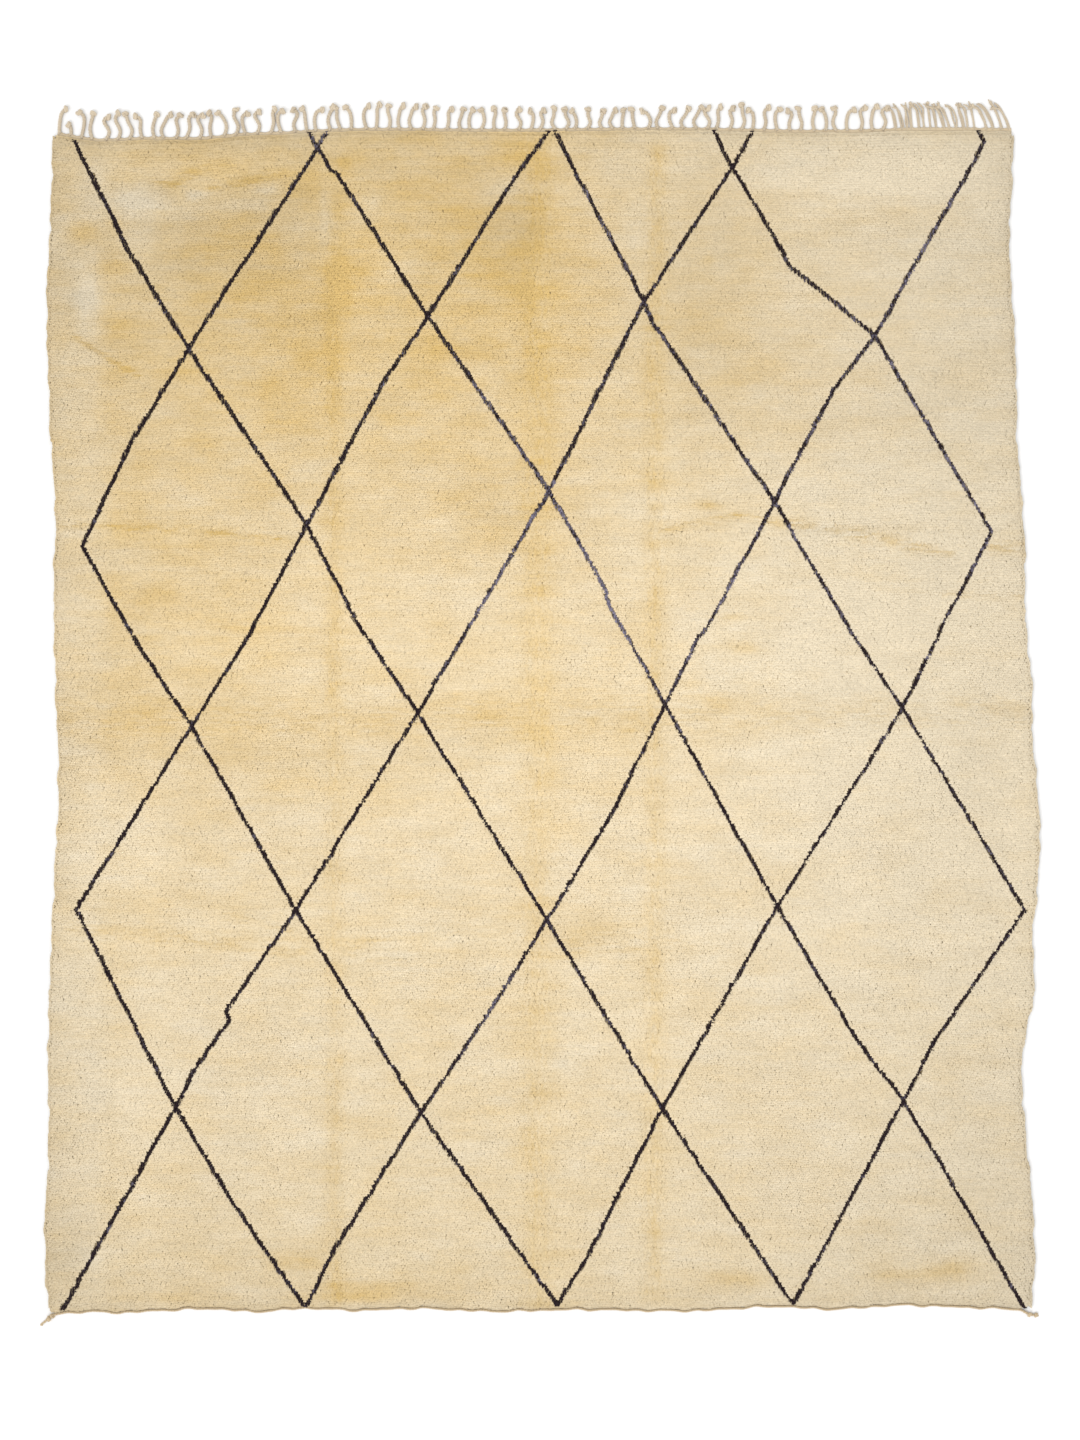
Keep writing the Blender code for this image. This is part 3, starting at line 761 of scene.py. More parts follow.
def field_tufts(rng, x, y, row, ridge_reach, root_reach, lift=0.0):
    """The tufts of the knots at x and y, as they stand away from the rim and lean over it."""
    count = len(x)
    fold = unsettled(x, y)
    room = edge_room(x, y)
    to_left, to_right, to_plain, to_fringe = (np.clip(1 - space / RIM, 0, 1) for space in room)
    aside = to_right - to_left
    rim = np.maximum.reduce([to_left, to_right, to_plain, to_fringe])

    lean_x = SIDE_WANDER * NAP_WANDER * soft_noise(x, y, *SIDE_PATCHES)
    lean_x = lean_x + FOLD_WANDER * fold * soft_noise(x, y, *FOLD_PATCHES)
    lean_x = lean_x + rng.normal(0, NAP_JITTER, count)
    lean_y = NAP + NAP_WANDER * soft_noise(x, y, *NAP_PATCHES)
    lean_y = lean_y + (ROW_WANDER + FOLD_WANDER * fold) * soft_noise(x, row * ROW_NOISE, *ROW_PATCHES)
    lean_y = lean_y + rng.normal(0, NAP_JITTER, count)
    ahead = np.clip(1 - room[3] / FRINGE_LEAN_REACH, 0, 1) - to_plain
    lean_x = lean_x * (1 - abs(aside)) + RIM_LEAN * aside
    lean_y = lean_y * (1 - abs(ahead)) + RIM_LEAN * ahead

    height = pile_height(x, y) + marked(x, y)[1] - TIP_DROP + lift - RIM_FALL * rim**2
    height = height - FOLD_DROP * fold * rng.uniform(0, 1, count)
    turn = rng.normal(0, RIDGE_TURN, count) + FOLD_TURN * fold * rng.normal(0, 1, count)
    turn = turn * (1 - rim) + 0.5 * np.pi * aside
    ridge = ridge_reach * rng.uniform(*RIDGE_SHARES, count)
    root = np.clip(np.minimum.reduce(room) - ROOT_INSET, ROOT_LEAST, root_reach)
    along = np.stack([np.cos(turn), np.sin(turn)], 1)
    down = np.stack([-along[:, 1], along[:, 0]], 1) * root[:, None]
    along = along * ridge[:, None]
    base = np.stack([x, y], 1)
    tip = base + np.stack([lean_x, lean_y], 1)

    corners = np.zeros((count, 4, 3))
    corners[:, :, :2] = np.stack([tip - along, tip + along, base - down, base + down], 1)
    corners[:, :2, 2] = height[:, None] + rng.uniform(-TIP_JITTER, TIP_JITTER, (count, 2))
    corners[:, 2:, 2] = ROOT_LEVEL + np.maximum(0, crease_height(x, y))[:, None]
    return Tufts(corners, x, y)


def rim_tufts(rng):
    """Tufts that hang over the ground weave's edge all round, in two rows that close each other's gaps."""
    edges = []
    down = np.arange(-LENGTH / 2 + RIM_START, LENGTH / 2 - RIM_START, RIM_PITCH)
    for side in (-1, 1):
        edges.append((side, 0, side_lines(down)[side > 0], down))
        left, right = side_lines(side * LENGTH / 2)
        across = np.arange(left + RIM_START, right - RIM_START, RIM_PITCH)
        edges.append((0, side, across, end_lines(across)[side > 0]))
    made = []
    for out_x, out_y, x, y in edges:
        out = np.array([out_x, out_y, 0.0])
        along = np.array([out_y, -out_x, 0.0])
        scallop = RIM_SCALLOP * soft_noise(x, y, *SCALLOP_PATCHES)
        count = len(x)
        for high, reach_out in RIM_ROWS:
            shift = rng.uniform(-0.5, 0.5, count) * RIM_PITCH
            place = np.stack([x, y, np.zeros(count)], 1) + along * shift[:, None]
            reach_out = reach_out + RIM_PLAIN_PULL * min(0, out_y)
            reach = reach_out + scallop + rng.uniform(-RIM_JITTER, RIM_JITTER, count)
            tip = place + out * reach[:, None]
            breadth = RIM_REACH * rng.uniform(*RIM_SHARES, (count, 1))
            corners = np.zeros((count, 4, 3))
            for end, way in ((0, -1), (1, 1)):
                skew = rng.uniform(-RIM_JITTER, RIM_JITTER, (count, 1))
                corners[:, end] = tip + way * breadth * along + skew * out
                corners[:, end, 2] = high + rng.uniform(-RIM_JITTER, RIM_JITTER, count)
            corners[:, 2] = place - out * rng.uniform(*RIM_ROOTS, (count, 1))
            corners[:, 3] = place - out * RIM_FOOT_INSET
            corners[:, 2:, 2] = (high - RIM_ROOT_DROP, RIM_FOOT)
            made.append(Tufts(corners, x, y))
    return together(made)


def field_knots(rng):
    """The knots of the whole field, row by row from the fringed end: their row, x and y."""
    row, column = (grid.ravel() for grid in np.mgrid[0:ROWS, 0:COLUMNS])
    u = (column + 0.5 + np.where(row % 2, STAGGER, -STAGGER)) / COLUMNS
    v = (row + 0.5) / ROWS
    x, y = field_points(u, v, KNOT_INSET)
    x = x + rng.uniform(-KNOT_JITTER, KNOT_JITTER, len(x))
    y = y + rng.uniform(-KNOT_JITTER, KNOT_JITTER, len(y)) * JITTER_DOWN
    return row, x, y


TUFT_FACES = ((0, 2, 1), (1, 3, 0), (0, 3, 2), (1, 2, 3))

# Where each face lies in its tuft's cell of the bake map: front and back as a lozenge, the two
# undercut faces in the lower corners.
TUFT_CELL = (
    ((0.06, 0.5), (0.5, 0.06), (0.94, 0.5)),
    ((0.94, 0.5), (0.5, 0.94), (0.06, 0.5)),
    ((0.02, 0.40), (0.02, 0.02), (0.40, 0.02)),
    ((0.98, 0.40), (0.60, 0.02), (0.98, 0.02)),
)


def pile_piece(name, tufts, tones, material):
    """One piece with those tufts, each with its gold, its painted light and shade, and its tone."""
    count = len(tones)
    faces = (np.array(TUFT_FACES)[None] + 4 * np.arange(count)[:, None, None]).reshape(-1, 3)
    side = math.ceil(math.sqrt(count))
    cell = np.stack([np.arange(count) % side, np.arange(count) // side], 1)
    cells = (np.array(TUFT_CELL)[None] + cell[:, None, None, :]) / side
    gold_and_painted_shade, _ = marked(tufts.x, tufts.y)
    attributes = {
        "tip": np.tile([1.0, 1.0, 0.0, 0.0], count),
        "tone": np.repeat(tones, 4),
        "gold": np.repeat(wool_gold(tufts.x, tufts.y) + gold_and_painted_shade, 4),
        # painted light and shade, with painted shade along the marks
        "light": np.repeat(painted_light(tufts.x, tufts.y) - MARK_PAINTED_SHADE * gold_and_painted_shade, 4),
    }
    normals = tufts.normals().reshape(-1, 3)
    made = joined_mesh(name, tufts.corners.reshape(-1, 3), faces, material, cells, attributes, normals)
    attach(made, "root")
    return made


# ---- The lattice, charted row by row ----

# Where the lattice's lines cross or turn, in rows down the rug: x and y. A line runs from each
# crossing to its nearest two in the next row.
CROSSINGS = (
    ((-1.449, 1.805), (-0.694, 1.787), (0.034, 1.848), (0.594, 1.728), (1.378, 1.805)),
    ((-1.095, 1.165), (-0.351, 1.264), (0.32, 1.311), (1.036, 1.205)),
    ((-1.424, 0.552), (-0.728, 0.617), (0.025, 0.723), (0.725, 0.689), (1.399, 0.596)),
    ((-1.085, -0.008), (-0.383, 0.033), (0.386, 0.058), (1.123, 0.048)),
    ((-1.443, -0.577), (-0.762, -0.58), (0.019, -0.611), (0.734, -0.568), (1.502, -0.58)),
    ((-1.135, -1.193), (-0.373, -1.208), (0.376, -1.196), (1.126, -1.171)),
    ((-1.487, -1.824), (-0.731, -1.815), (0.05, -1.808), (0.784, -1.805), (1.505, -1.821)),
)

# Short lines past the first row's crossings: x and y of their two ends.
ARMS = (
    (-0.722, 1.832, -0.694, 1.787), (-0.662, 1.836, -0.694, 1.787), (0.538, 1.832, 0.594, 1.728),
    (0.656, 1.83, 0.594, 1.728), (1.356, 1.833, 1.378, 1.805),
)

# Bends that a line takes on its way: its row, its upper crossing, its lower one, then x and y.
BENDS = {
    (0, 0, 0): ((-1.27, 1.45),), (0, 1, 1): ((-0.653, 1.721), (-0.633, 1.708)), (0, 2, 1): ((-0.08, 1.7),),
    (0, 3, 3): ((0.687, 1.575), (0.774, 1.42), (0.93, 1.295)), (1, 0, 0): ((-1.252, 0.905), (-1.27, 0.88)),
    (1, 1, 1): ((-0.49, 1.06),), (1, 2, 3): ((0.352, 1.235), (0.376, 1.205)), (1, 3, 3): ((0.91, 1.04),),
    (2, 0, 0): ((-1.25, 0.24),), (2, 1, 0): ((-0.91, 0.27),), (2, 1, 1): ((-0.57, 0.31),),
    (2, 2, 2): ((0.206, 0.408), (0.199, 0.394)), (2, 3, 2): ((0.51, 0.288), (0.488, 0.268)),
    (2, 3, 3): ((0.96, 0.29),), (2, 4, 3): ((1.26, 0.33),), (3, 2, 2): ((0.22, -0.28),),
    (4, 1, 0): ((-0.978, -0.892), (-0.966, -0.92), (-1.08, -1.08)), (4, 2, 1): ((-0.17, -0.91),),
    (4, 3, 3): ((0.98, -0.98),), (4, 4, 3): ((1.22, -0.99),), (5, 0, 1): ((-0.95, -1.5),),
    (5, 1, 1): ((-0.64, -1.63),), (5, 2, 2): ((0.145, -1.655),),
}
LINE_CLEAR = 0.0085  # how far to either side of a line's middle the cream knots give way to dark ones
LINE_KNOTS = (-0.5, 0.5)  # the dark knots of one row, from the line's middle in knots
LINE_KNOT_PITCH = 0.0062
LINE_KNOT_WANDER = 0.0032  # how much a line grows and shrinks on its way
LINE_RIDGE_REACH = 0.0028
LINE_ROOT_REACH = 0.0080
LINE_PITCH = 0.0066  # from knot to knot down a line
LINE_LIFT = 0.0010
LINE_INSET = 0.0015  # from the outline to where the dark knots of the field start
LINE_RIM_CLEAR = 0.0030  # to either side of a line's middle, the hanging tufts that are dark
LINE_RIM_PUSH = 0.0030  # how far those stand out past the cream ones
USUAL_SLANT = 1.17  # a line's length for each metre down the rug, below which it keeps its width
# How broad the lines are, as a share of the usual: metres up from the middle, share.
LINE_BREADTHS = ((-1.8, 1.02), (-1.2, 0.99), (-0.3, 0.91), (0.35, 0.92), (1.0, 1.11), (1.8, 1.06))
THINNER_RIGHT = 0.05  # how much thinner they are for each metre to the right
LINE_WANDER = 0.0026
# The patches in which a line wanders and in which its breadth changes: their size down the rug, and
# the layers of noise from one line to the next.
WANDER_PATCH = 0.035
WANDER_LAYER = 5.3
BREADTH_PATCH = 0.08
BREADTH_START = 90
BREADTH_LAYER = 2.3
LINE_STEP = 0.0016
LINE_PAIR = 2  # rows of knots from one sideways step of a line to the next


def lattice_lines():
    """Every line of the lattice, as its points from the top down."""
    for x0, y0, x1, y1 in ARMS:
        yield ((x0, y0), (x1, y1))
    for k, (upper, lower) in enumerate(zip(CROSSINGS, CROSSINGS[1:])):
        for i, start in enumerate(upper):
            reached = (i - 1, i) if len(upper) > len(lower) else (i, i + 1)
            for j in reached:
                if 0 <= j < len(lower):
                    yield (start, *BENDS.get((k, i, j), ()), lower[j])


def line_middle(line, layer, y):
    """The x of a line's middle at each y, with the wander of hand work."""
    line_x, line_y = np.array(line)[::-1].T
    wander = LINE_WANDER * soft_noise(y, 0.0 * y, WANDER_PATCH, 1.0, layer * WANDER_LAYER)
    return np.interp(y, line_y, line_x) + wander


def line_breadth(line, y):
    """How broad a line is along the rows at each y: about 1, and more where it runs flat."""
    line_x, line_y = np.array(line)[::-1].T
    stretch = np.clip(np.searchsorted(line_y, y) - 1, 0, len(line) - 2)
    slant = (np.diff(line_x) / np.diff(line_y))[stretch]
    usual = through(LINE_BREADTHS, y) - THINNER_RIGHT * np.interp(y, line_y, line_x)
    return usual * np.maximum(1.0, np.hypot(1.0, slant) / USUAL_SLANT)


def off_lattice(x, y, distance):
    """Which knots stay cream: those at least that far from the middle of every line of usual breadth."""
    clear = np.ones(len(x), bool)
    for layer, line in enumerate(lattice_lines()):
        near = (y >= line[-1][1] - ROW_PITCH / 2) & (y <= line[0][1] + ROW_PITCH / 2)
        reach = distance * line_breadth(line, y[near])
        clear[near] &= np.abs(x[near] - line_middle(line, layer, y[near])) > reach
    return clear


def lattice_knots(rng):
    """The dark knots, two by two down each line: their row, x and y."""
    rows, xs, ys = [], [], []
    for layer, line in enumerate(lattice_lines()):
        run = run_along(line)
        y = np.interp(np.arange(0.0, run[-1], LINE_PITCH), run, np.array(line)[:, 1])
        pair = np.arange(len(y)) // LINE_PAIR * LINE_PAIR
        step = rng.uniform(-LINE_STEP, LINE_STEP, len(y))[pair]
        middle = line_middle(line, layer, (y + y[pair]) / 2) + step
        uneven = soft_noise(y, 0.0 * y, BREADTH_PATCH, 1.0, BREADTH_START + layer * BREADTH_LAYER)
        pitch = LINE_KNOT_PITCH * line_breadth(line, y) + LINE_KNOT_WANDER * uneven
        for shift in LINE_KNOTS:
            xs.append(middle + shift * pitch)
            ys.append(y + rng.uniform(-LINE_STEP, LINE_STEP, len(y)))
            rows.append(np.arange(len(y)))
    row, x, y = np.concatenate(rows), np.concatenate(xs), np.concatenate(ys)
    within = np.minimum.reduce(edge_room(x, y)) > LINE_INSET
    return row[within], x[within], y[within]


# ---- The ground weave ----

WEAVE_CELLS = (110, 132)
WEAVE_INSET = 0.0030
WEAVE_THICKNESS = 0.0034
WEAVE_LIFT = 0.0006


def woven_sheet(name, cells, placed, thickness, material):
    """A closed sheet: a grid with its top put in place by a function, made solid downwards."""
    bpy.ops.mesh.primitive_grid_add(x_subdivisions=cells[0], y_subdivisions=cells[1], size=1)
    made = bpy.context.object
    made.name = made.data.name = name
    points = np.zeros(len(made.data.vertices) * 3)
    made.data.vertices.foreach_get("co", points)
    across, along, _ = points.reshape(-1, 3).T
    made.data.vertices.foreach_set("co", np.stack(placed(across, along), 1).ravel())
    solid = made.modifiers.new("thickness", "SOLIDIFY")
    solid.thickness = thickness
    solid.offset = -1.0
    bpy.ops.object.modifier_apply(modifier=solid.name)
    made.data.shade_smooth()
    made.data.materials.append(material)
    made.select_set(False)
    return made


def weave_points(across, along):
    """Where the ground weave has a grid's points: it rises over the ridges."""
    x, y = field_points(across + 0.5, 0.5 - along, WEAVE_INSET)
    return x, y, WEAVE_LIFT + WEAVE_THICKNESS + np.maximum(0, crease_height(x, y))


def ground_weave(material):
    """The flat ground weave under the pile, as a thin closed sheet."""
    made = woven_sheet("ground_weave", WEAVE_CELLS, weave_points, WEAVE_THICKNESS, material)
    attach(made, "root")
    return made


# ---- Twisted yarn ----

PLY_SIDES = 5
PLY_SHIFT = 0.25  # from a strand's middle line to a ply's, as a share of the strand's width
PLY_REACH = 0.28  # a ply's radius, as a share of the strand's width
YARN_FLATNESS = 0.8
YARN_MIDDLE = PLY_SHIFT * YARN_FLATNESS + PLY_REACH  # the middle line's height, in the same way


def round_about(turn, one, two):
    """Points of a ring, at each turn between two ways at right angles."""
    return np.cos(turn)[:, None] * one + np.sin(turn)[:, None] * two


class YarnHeap:
    """Tubes of yarn that end up as one mesh, each with a tone of its own."""

    def __init__(self, seed):
        self.rng = np.random.default_rng(seed)
        self.points = []
        self.faces = []
        self.tones = []
        self.count = 0

    def any_turn(self):
        return self.rng.uniform(0, 2 * np.pi)

    def tube(self, path, radii, sides=PLY_SIDES):
        """Adds a tube of rings around the path's points, closed flat at both its ends."""
        ahead = unit(np.gradient(path, axis=0))
        out = np.cross(ahead[0], (0.0, 0.0, 1.0))
        turn = 2 * np.pi * np.arange(sides) / sides
        for point, along, radius in zip(path, ahead, radii):
            out = unit(out - along * out.dot(along))
            self.points.append(point + radius * round_about(turn, out, np.cross(along, out)))
        start = self.count + np.arange(len(path) - 1)[:, None] * sides
        first = start + np.arange(sides)
        after = start + (np.arange(sides) + 1) % sides
        quads = np.stack([first, after, after + sides, first + sides], 2)
        self.faces.extend(quads.reshape(-1, 4).tolist())
        self.faces.append(first[0, ::-1].tolist())
        self.faces.append((first[-1] + sides).tolist())
        self.tones.append(np.full(len(path) * sides, self.rng.uniform(0, 1)))
        self.count += len(path) * sides

    def mesh(self, name, material):
        mesh = bpy.data.meshes.new(name)
        mesh.from_pydata(np.concatenate(self.points).tolist(), [], self.faces)
        mesh.shade_smooth()
        layer = mesh.attributes.new("tone", "FLOAT", "POINT")
        layer.data.foreach_set("value", np.concatenate(self.tones).astype(np.float32))
        mesh.materials.append(material)
        return new_object(name, mesh)


def lay_plies(heap, middle, widths, twist, flatness=YARN_FLATNESS, turned=0.0):
    """Two plies wound round each other along a middle line of points x, y and z."""
    ahead = np.gradient(middle, axis=0)
    right = unit(np.stack([ahead[:, 1], -ahead[:, 0], np.zeros(len(middle))], 1))
    up = np.array([0.0, 0.0, flatness])
    for start in (0.0, np.pi):
        turn = 2 * np.pi * run_along(middle) / twist + start + turned
        shift = round_about(turn, right, up) * (PLY_SHIFT * widths)[:, None]
        heap.tube(middle + shift, PLY_REACH * widths)


# ---- The fringed end: the woven band and its warp strands ----

GAP = 0.0005  # between one piece and the next
BAND_DEPTH = 0.012
BAND_THICKNESS = 0.005
BAND_START = -1.503
BAND_STOP = 1.462
BAND_TUCK = 0.008  # how far the band runs in under the pile
BAND_CELL = 0.0022
BAND_ROWS = 5
BAND_CROWN = 0.45  # how much lower its edges are, as a share of its thickness
BAND_WEFTS = 12  # radians of its wefts' relief across it
DRAWN_REACH = 0.011  # to either side of a strand, where it draws the band's edge out
DRAWN_OUT = 0.0042
DRAWN_IN = 0.0018  # how far the edge falls back between the strands
BAND_RIB = 0.0066
BAND_RELIEF = 0.0009
SPACING = 0.004  # the room left between two neighbouring tips
PARTING_ROUNDS = 40  # how often the tips are turned away from each other

# Groups of strands: first root, last root, strands, length, width, knot, lean, sway.
STRAND_GROUPS = (
    (-1.497, -1.497, 1, 0.088, 0.0098, 0.95, 0.006, 0.004),
    (-1.461, -1.461, 1, 0.036, 0.0098, 0.9, 0.0, 0.002),
    (-1.428, 1.064, 69, 0.086, 0.0098, 0.9, 0.0, 0.009),
    (1.101, 1.228, 8, 0.084, 0.0072, 0.25, -0.016, 0.003),
    (1.253, 1.347, 6, 0.082, 0.0072, 0.25, -0.024, 0.003),
    (1.382, 1.453, 4, 0.088, 0.008, 0.25, -0.034, 0.002),
)

# How long the strands are along the end, as a share of their group's length.
LENGTH_SHARES = (
    (-1.45, 0.97), (-1.15, 0.9), (-0.9, 0.87), (-0.45, 0.86), (-0.2, 0.77), (0.0, 0.72), (0.17, 0.66),
    (0.38, 0.72), (0.5, 0.78), (0.6, 0.84), (0.85, 0.8), (1.02, 0.9), (1.15, 1.0),
)
ROOT_JITTER = 0.16  # as a share of the pitch
LEAN_JITTER = 0.012
LENGTH_JITTER = 0.06  # as a share of the length
LEAST_SWAY = 0.3  # as a share of the group's sway
SWAY_TURNS = (1.0, 1.5, 2.0)  # half waves from root to tip
LEAN_POWER = 1.4  # a strand leans more towards its tip
STRAND_TWIST = 0.016  # one turn of the plies
# Shares of a strand's length: where it starts inside the band, and where its knot takes over.
STRAND_START = -0.06
KNOT_START = 0.93
TIP_RISE = 0.25  # how far its tip is lifted, as a share of the yarn's width
RING_STEP = 0.0021
YARN_FULLNESS = 1.22  # how much wider the soft yarn is than its solid
KNOT_LENGTH = 0.9  # as a share of the yarn's width
KNOT_TURNS = 1.9
KNOT_SIDES = 6
KNOT_RINGS = 30
KNOT_TILT = 0.38
KNOT_REACH = 0.60  # from the knot's middle to its yarn's, as a share of the yarn's width
KNOT_YARN = 0.34  # the radius of the yarn in the knot, in the same way
KNOT_RISE = 0.62  # its height as a share of its breadth
# How the yarn starts and ends in a knot: over how many radians of its turns it gets its full reach
# and its full radius, and the share of each that it starts with.
KNOT_REACH_TAIL = (1.3, 0.3)
KNOT_YARN_TAIL = (0.8, 0.5)
KNOTTED = 0.5  # strands whose knot adds more than this share to their width end in a large one
LOOSE_KNOT_SHARE = 0.35  # of the loose strands at the right, those that end in a small knot
CURL_START = 0.62  # the share of a strand's length from which its end curls aside
CURL_LEAST = 0.4  # radians
CURL_MOST = 2.0
CURL_LEFT_SHARE = 0.6  # of the strands, those that curl to the left
KNOT_ROOM = 0.021  # from one knot's middle to the next one's
CURL_TRIES = 12
LOOSE_CURLS = (-1.7, 0.4)
FRAY = 0.7  # how much thinner the frayed end gets
FRAY_START = 0.9  # the share of a strand's length from which it frays, and the span to its tip
FRAY_SPAN = 0.1
LOOSE_KNOT_SIZE = 0.9
# The thinner strand beside each loose one: how far it is shifted and leans, its width, its rise.
LOOSE_SHIFT = 0.005
LOOSE_LEANS = (-0.014, 0.006)
LOOSE_WIDTH = 0.85
LOOSE_RISE = 0.006


@dataclass
class Strand:
    """A warp strand: where it leaves the band, its size and its knot's, and how it bends as it lies."""

    root: float
    length: float
    width: float
    knot: float
    lean: float
    sway: float
    turns: float

    def tip(self):
        return self.root + self.lean

    def knot_width(self):
        return self.width * (1 + self.knot)

    def middle(self, stop):
        """Shares of its length, and its middle line's points on the floor at each.

        It leans to the tip's shift and sways on the way.
        """
        share = np.linspace(STRAND_START, stop, int(self.length / RING_STEP))
        swing = self.sway * np.sin(np.pi * self.turns * share) * (1 - np.abs(share) ** 3)
        x = self.root + self.lean * np.abs(share) ** LEAN_POWER + swing
        root_y = band_edge(np.array([self.root]))
        return share, np.stack([x, root_y + self.length * share, 0 * share], 1)


def all_strands():
    """Every strand from left to right, with its tip clear of the next one's."""
    rng = np.random.default_rng(SEED + 1)
    made = []
    for first, last, count, length, width, knot, lean, sway in STRAND_GROUPS:
        pitch = (last - first) / max(1, count - 1)
        for k in range(count):
            wander = rng.uniform(-ROOT_JITTER, ROOT_JITTER) if 0 < k < count - 1 else 0.0
            root = first + pitch * (k + wander)
            share = through(LENGTH_SHARES, root) * (1 + rng.uniform(-LENGTH_JITTER, LENGTH_JITTER))
            made.append(Strand(
                root=root,
                length=length * share,
                width=width,
                knot=knot,
                lean=lean + rng.uniform(-LEAN_JITTER, LEAN_JITTER),
                sway=sway * rng.choice((-1, 1)) * rng.uniform(LEAST_SWAY, 1.0),
                turns=rng.choice(SWAY_TURNS),
            ))
    for _ in range(PARTING_ROUNDS):
        for one, two in zip(made, made[1:]):
            need = (one.knot_width() + two.knot_width()) / 2 + SPACING
            short = max(0.0, need - (two.tip() - one.tip()))
            one.lean -= short / 2
            two.lean += short / 2
    return made


def band_edge(x):
    """The y of the band's outer edge, where the strands leave it."""
    return end_lines(x)[1] + GAP + BAND_DEPTH


def curled(middle, share, turn):
    """A middle line whose end curls aside by that turn, with its length kept."""
    step = np.diff(middle[:, :2], axis=0)
    late = np.clip((share[1:] - CURL_START) / (1 - CURL_START), 0, 1)
    heading = np.arctan2(step[:, 0], step[:, 1]) + turn * late
    length = np.hypot(*step.T)
    path = middle.copy()
    path[1:, 0] = middle[0, 0] + np.cumsum(length * np.sin(heading))
    path[1:, 1] = middle[0, 1] + np.cumsum(length * np.cos(heading))
    return path


def lay_strand(heap, strand, last_end):
    """A strand's two plies, curled aside and knotted at the end. Gives where it ends."""
    width = strand.width * YARN_FULLNESS
    share, middle = strand.middle(KNOT_START)
    for _ in range(CURL_TRIES):
        way = -1 if heap.rng.uniform() < CURL_LEFT_SHARE else 1
        path = curled(middle, share, way * heap.rng.uniform(CURL_LEAST, CURL_MOST))
        if np.hypot(*(path[-1, :2] - last_end)) > KNOT_ROOM:
            break
    path[:, 2] = width * YARN_MIDDLE + TIP_RISE * width * share**6
    lay_plies(heap, path, np.full(len(share), width), STRAND_TWIST, turned=heap.any_turn())
    lay_knot(heap, path[-1], path[-1] - path[-3], width)
    return path[-1, :2]


def lay_loose_strand(heap, strand, raised):
    """A thin strand of the tangle at the right, with a frayed end or a small knot."""
    width = strand.width
    share, middle = strand.middle(1.0)
    path = curled(middle, share, heap.rng.uniform(*LOOSE_CURLS))
    path[:, 2] = width * YARN_MIDDLE + raised * np.clip(share, 0, 1) ** 2
    widths = width * (1 - FRAY * np.clip((share - FRAY_START) / FRAY_SPAN, 0, 1))
    lay_plies(heap, path, widths, STRAND_TWIST, turned=heap.any_turn())
    if heap.rng.uniform() < LOOSE_KNOT_SHARE:
        at = int(FRAY_START * len(share))
        lay_knot(heap, path[at], path[at] - path[at - 2], LOOSE_KNOT_SIZE * width)


def lay_knot(heap, centre, ahead, width):
    """A yarn's end wound round itself and pulled tight, about a point of its middle line."""
    ahead = np.array([ahead[0], ahead[1], 0.0]) / math.hypot(ahead[0], ahead[1])
    right = np.array([ahead[1], -ahead[0], 0.0])
    turn = np.linspace(0, 2 * np.pi * KNOT_TURNS, KNOT_RINGS)
    tail = np.minimum(turn, turn[-1] - turn)
    reach = KNOT_REACH * width * np.clip(tail / KNOT_REACH_TAIL[0], KNOT_REACH_TAIL[1], 1)
    radius = KNOT_YARN * width
    turned = turn + heap.any_turn()
    forward = np.linspace(-0.5, 0.5, KNOT_RINGS) * KNOT_LENGTH * width
    forward = forward + KNOT_TILT * reach * np.sin(turned + heap.any_turn())
    path = centre + forward[:, None] * ahead + (reach * np.cos(turned))[:, None] * right
    path[:, 2] = radius + KNOT_RISE * reach.max() + KNOT_RISE * reach * np.sin(turned)
    radii = radius * np.clip(tail / KNOT_YARN_TAIL[0], KNOT_YARN_TAIL[1], 1)
    heap.tube(path, radii, KNOT_SIDES)


def strands(material):
    """All the warp strands. Those of the tangle at the right have a thinner one beside them."""
    heap = YarnHeap(SEED + 3)
    end = np.zeros(2)
    for strand in all_strands():
        if strand.knot > KNOTTED:
            end = lay_strand(heap, strand, end)
            continue
        lay_loose_strand(heap, strand, 0.0)
        strand.root += heap.rng.uniform(-LOOSE_SHIFT, LOOSE_SHIFT)
        strand.lean += heap.rng.uniform(*LOOSE_LEANS)
        strand.sway *= -1
        strand.width *= LOOSE_WIDTH
        lay_loose_strand(heap, strand, LOOSE_RISE)
    made = heap.mesh("warp_strands", material)
    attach(made, "root")
    return made


def band_points(across, along):
    """Where the band has a grid's points: drawn out to each strand, crowned, and ribbed by its warps."""
    x = BAND_START + (across + 0.5) * (BAND_STOP - BAND_START)
    deep = along + 0.5
    drawn = np.zeros(len(x))
    for strand in all_strands():
        drawn = np.maximum(drawn, np.exp(-(((x - strand.root) / DRAWN_REACH) ** 2)))
    inner = end_lines(x)[1] - BAND_TUCK
    outer = band_edge(x) + DRAWN_OUT * drawn - DRAWN_IN
    crown = 1 - BAND_CROWN * np.abs(2 * deep - 1) ** 3
    wefts = 0.5 + 0.5 * np.cos(BAND_WEFTS * deep)
    rib = BAND_RELIEF * np.abs(np.sin(np.pi * x / BAND_RIB)) * wefts
    return x, inner + (outer - inner) * deep, BAND_THICKNESS * crown + rib


def band(material):
    """The flat-woven band along the fringed end."""
    cells = (round((BAND_STOP - BAND_START) / BAND_CELL), BAND_ROWS)
    made = woven_sheet("end_band", cells, band_points, BAND_THICKNESS * 0.5, material)
    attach(made, "root")
    return made


# ---- The cord along the plain end ----

CORD_WIDTH = 0.0085
CORD_TWIST = 0.018
CORD_STEP = 0.0024
CORD_POINT_STEP = 0.02  # from one point of its route to the next
TAIL_START = 0.02  # how far before a tail's first row the plain cord stops

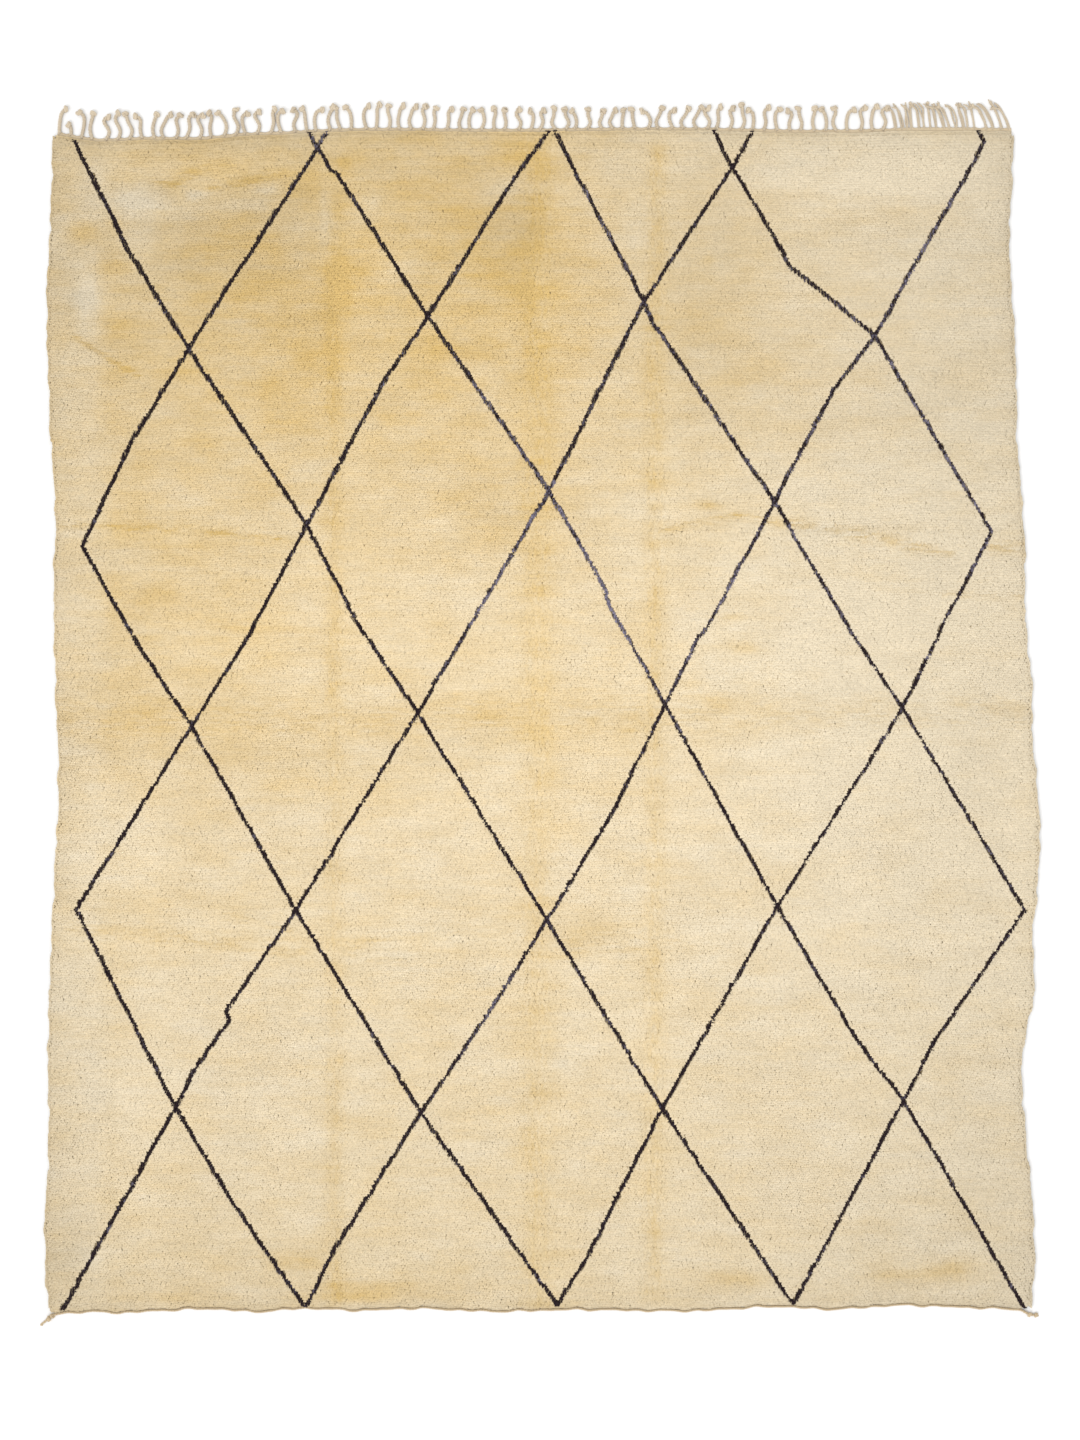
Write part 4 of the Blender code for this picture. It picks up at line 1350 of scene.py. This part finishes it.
# The cord's tails past the corners, outwards: x, y, width.
LEFT_TAIL = (
    (-1.512, -1.8435, 0.0095), (-1.531, -1.856, 0.01), (-1.54, -1.864, 0.008), (-1.55, -1.872, 0.007),
    (-1.556, -1.878, 0.005),
)
RIGHT_TAIL = (
    (1.511, -1.839, 0.009), (1.519, -1.844, 0.009), (1.529, -1.844, 0.008), (1.539, -1.845, 0.008),
    (1.547, -1.849, 0.005),
)
# The knots in the tails: x, y, how far ahead in x and y, width of the yarn.
TAIL_KNOTS = (
    (-1.519, -1.848, -1.0, -0.6, 0.009), (-1.53, -1.856, -1.0, -0.7, 0.01),
    (-1.552, -1.875, -1.0, -0.8, 0.005), (1.519, -1.844, 1.0, -0.2, 0.0085),
    (1.538, -1.845, 1.0, -0.1, 0.0085),
)


def end_cord(material):
    """The twisted cord sewn along the plain end, and its tails."""
    x = np.arange(LEFT_TAIL[0][0] + TAIL_START, RIGHT_TAIL[0][0] - TAIL_START, CORD_POINT_STEP)
    y = end_lines(x)[0] - GAP - CORD_WIDTH / 2
    along = [(a, b, CORD_WIDTH) for a, b in zip(x, y)]
    route = np.array([*reversed(LEFT_TAIL), *along, *RIGHT_TAIL])
    run = run_along(route[:, :2])
    at = np.arange(0, run[-1], CORD_STEP)
    x, y, width = (through(list(zip(run, route[:, k])), at) for k in range(3))
    middle = np.stack([x, y, width * (PLY_SHIFT + PLY_REACH)], 1)
    heap = YarnHeap(SEED + 4)
    lay_plies(heap, middle, width, CORD_TWIST, flatness=1.0)
    for knot_x, knot_y, ahead_x, ahead_y, yarn in TAIL_KNOTS:
        lay_knot(heap, np.array([knot_x, knot_y, 0.0]), (ahead_x, ahead_y), yarn)
    made = heap.mesh("sewn_cord", material)
    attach(made, "root")
    return made


# ---- The whole rug ----

camera()
floor()
light()

rng = np.random.default_rng(SEED)
row, x, y = field_knots(rng)
clear = off_lattice(x, y, LINE_CLEAR)
row, x, y = row[clear], x[clear], y[clear]
tufts = field_tufts(rng, x, y, row, RIDGE_REACH, ROOT_REACH)
tones = rng.uniform(0, 1, len(x))
pile_wool = pile_finish()
for k in range(PILE_STRETCHES):
    stretch = row * PILE_STRETCHES // ROWS == k
    pile_piece(f"pile_stretch_{k + 1}", tufts.chosen(stretch), tones[stretch], pile_wool)
rim = rim_tufts(rng)
clear = off_lattice(rim.x, rim.y, LINE_RIM_CLEAR)
dark_rim = rim.chosen(~clear)
dark_rim.corners[:, :2, 1] += LINE_RIM_PUSH * np.sign(dark_rim.y)[:, None]
pile_piece("pile_rim", rim.chosen(clear), rng.uniform(0, 1, clear.sum()), pile_wool)

row, x, y = lattice_knots(rng)
tufts = field_tufts(rng, x, y, row, LINE_RIDGE_REACH, LINE_ROOT_REACH, LINE_LIFT)
tufts = together([tufts, dark_rim])
tones = slate_share(tufts.x, tufts.y) + SLATE_SPREAD * rng.uniform(-0.5, 0.5, len(tufts.x))
lattice = pile_piece("lattice_pile", tufts, tones, lattice_finish())

weave = ground_weave(weave_finish())
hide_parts("pile_field")

fringe = strands(yarn_finish("warp_yarn", YARN_BEIGE, YARN_SHADE))
woven_band = band(yarn_finish("band_weave", BAND_BEIGE, BAND_SHADE, BAND_FIBRES))
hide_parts("warp_fringe")

cord = end_cord(yarn_finish("cord_yarn_wool", CORD_BROWN, CORD_SHADE))
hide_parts("end_cord")
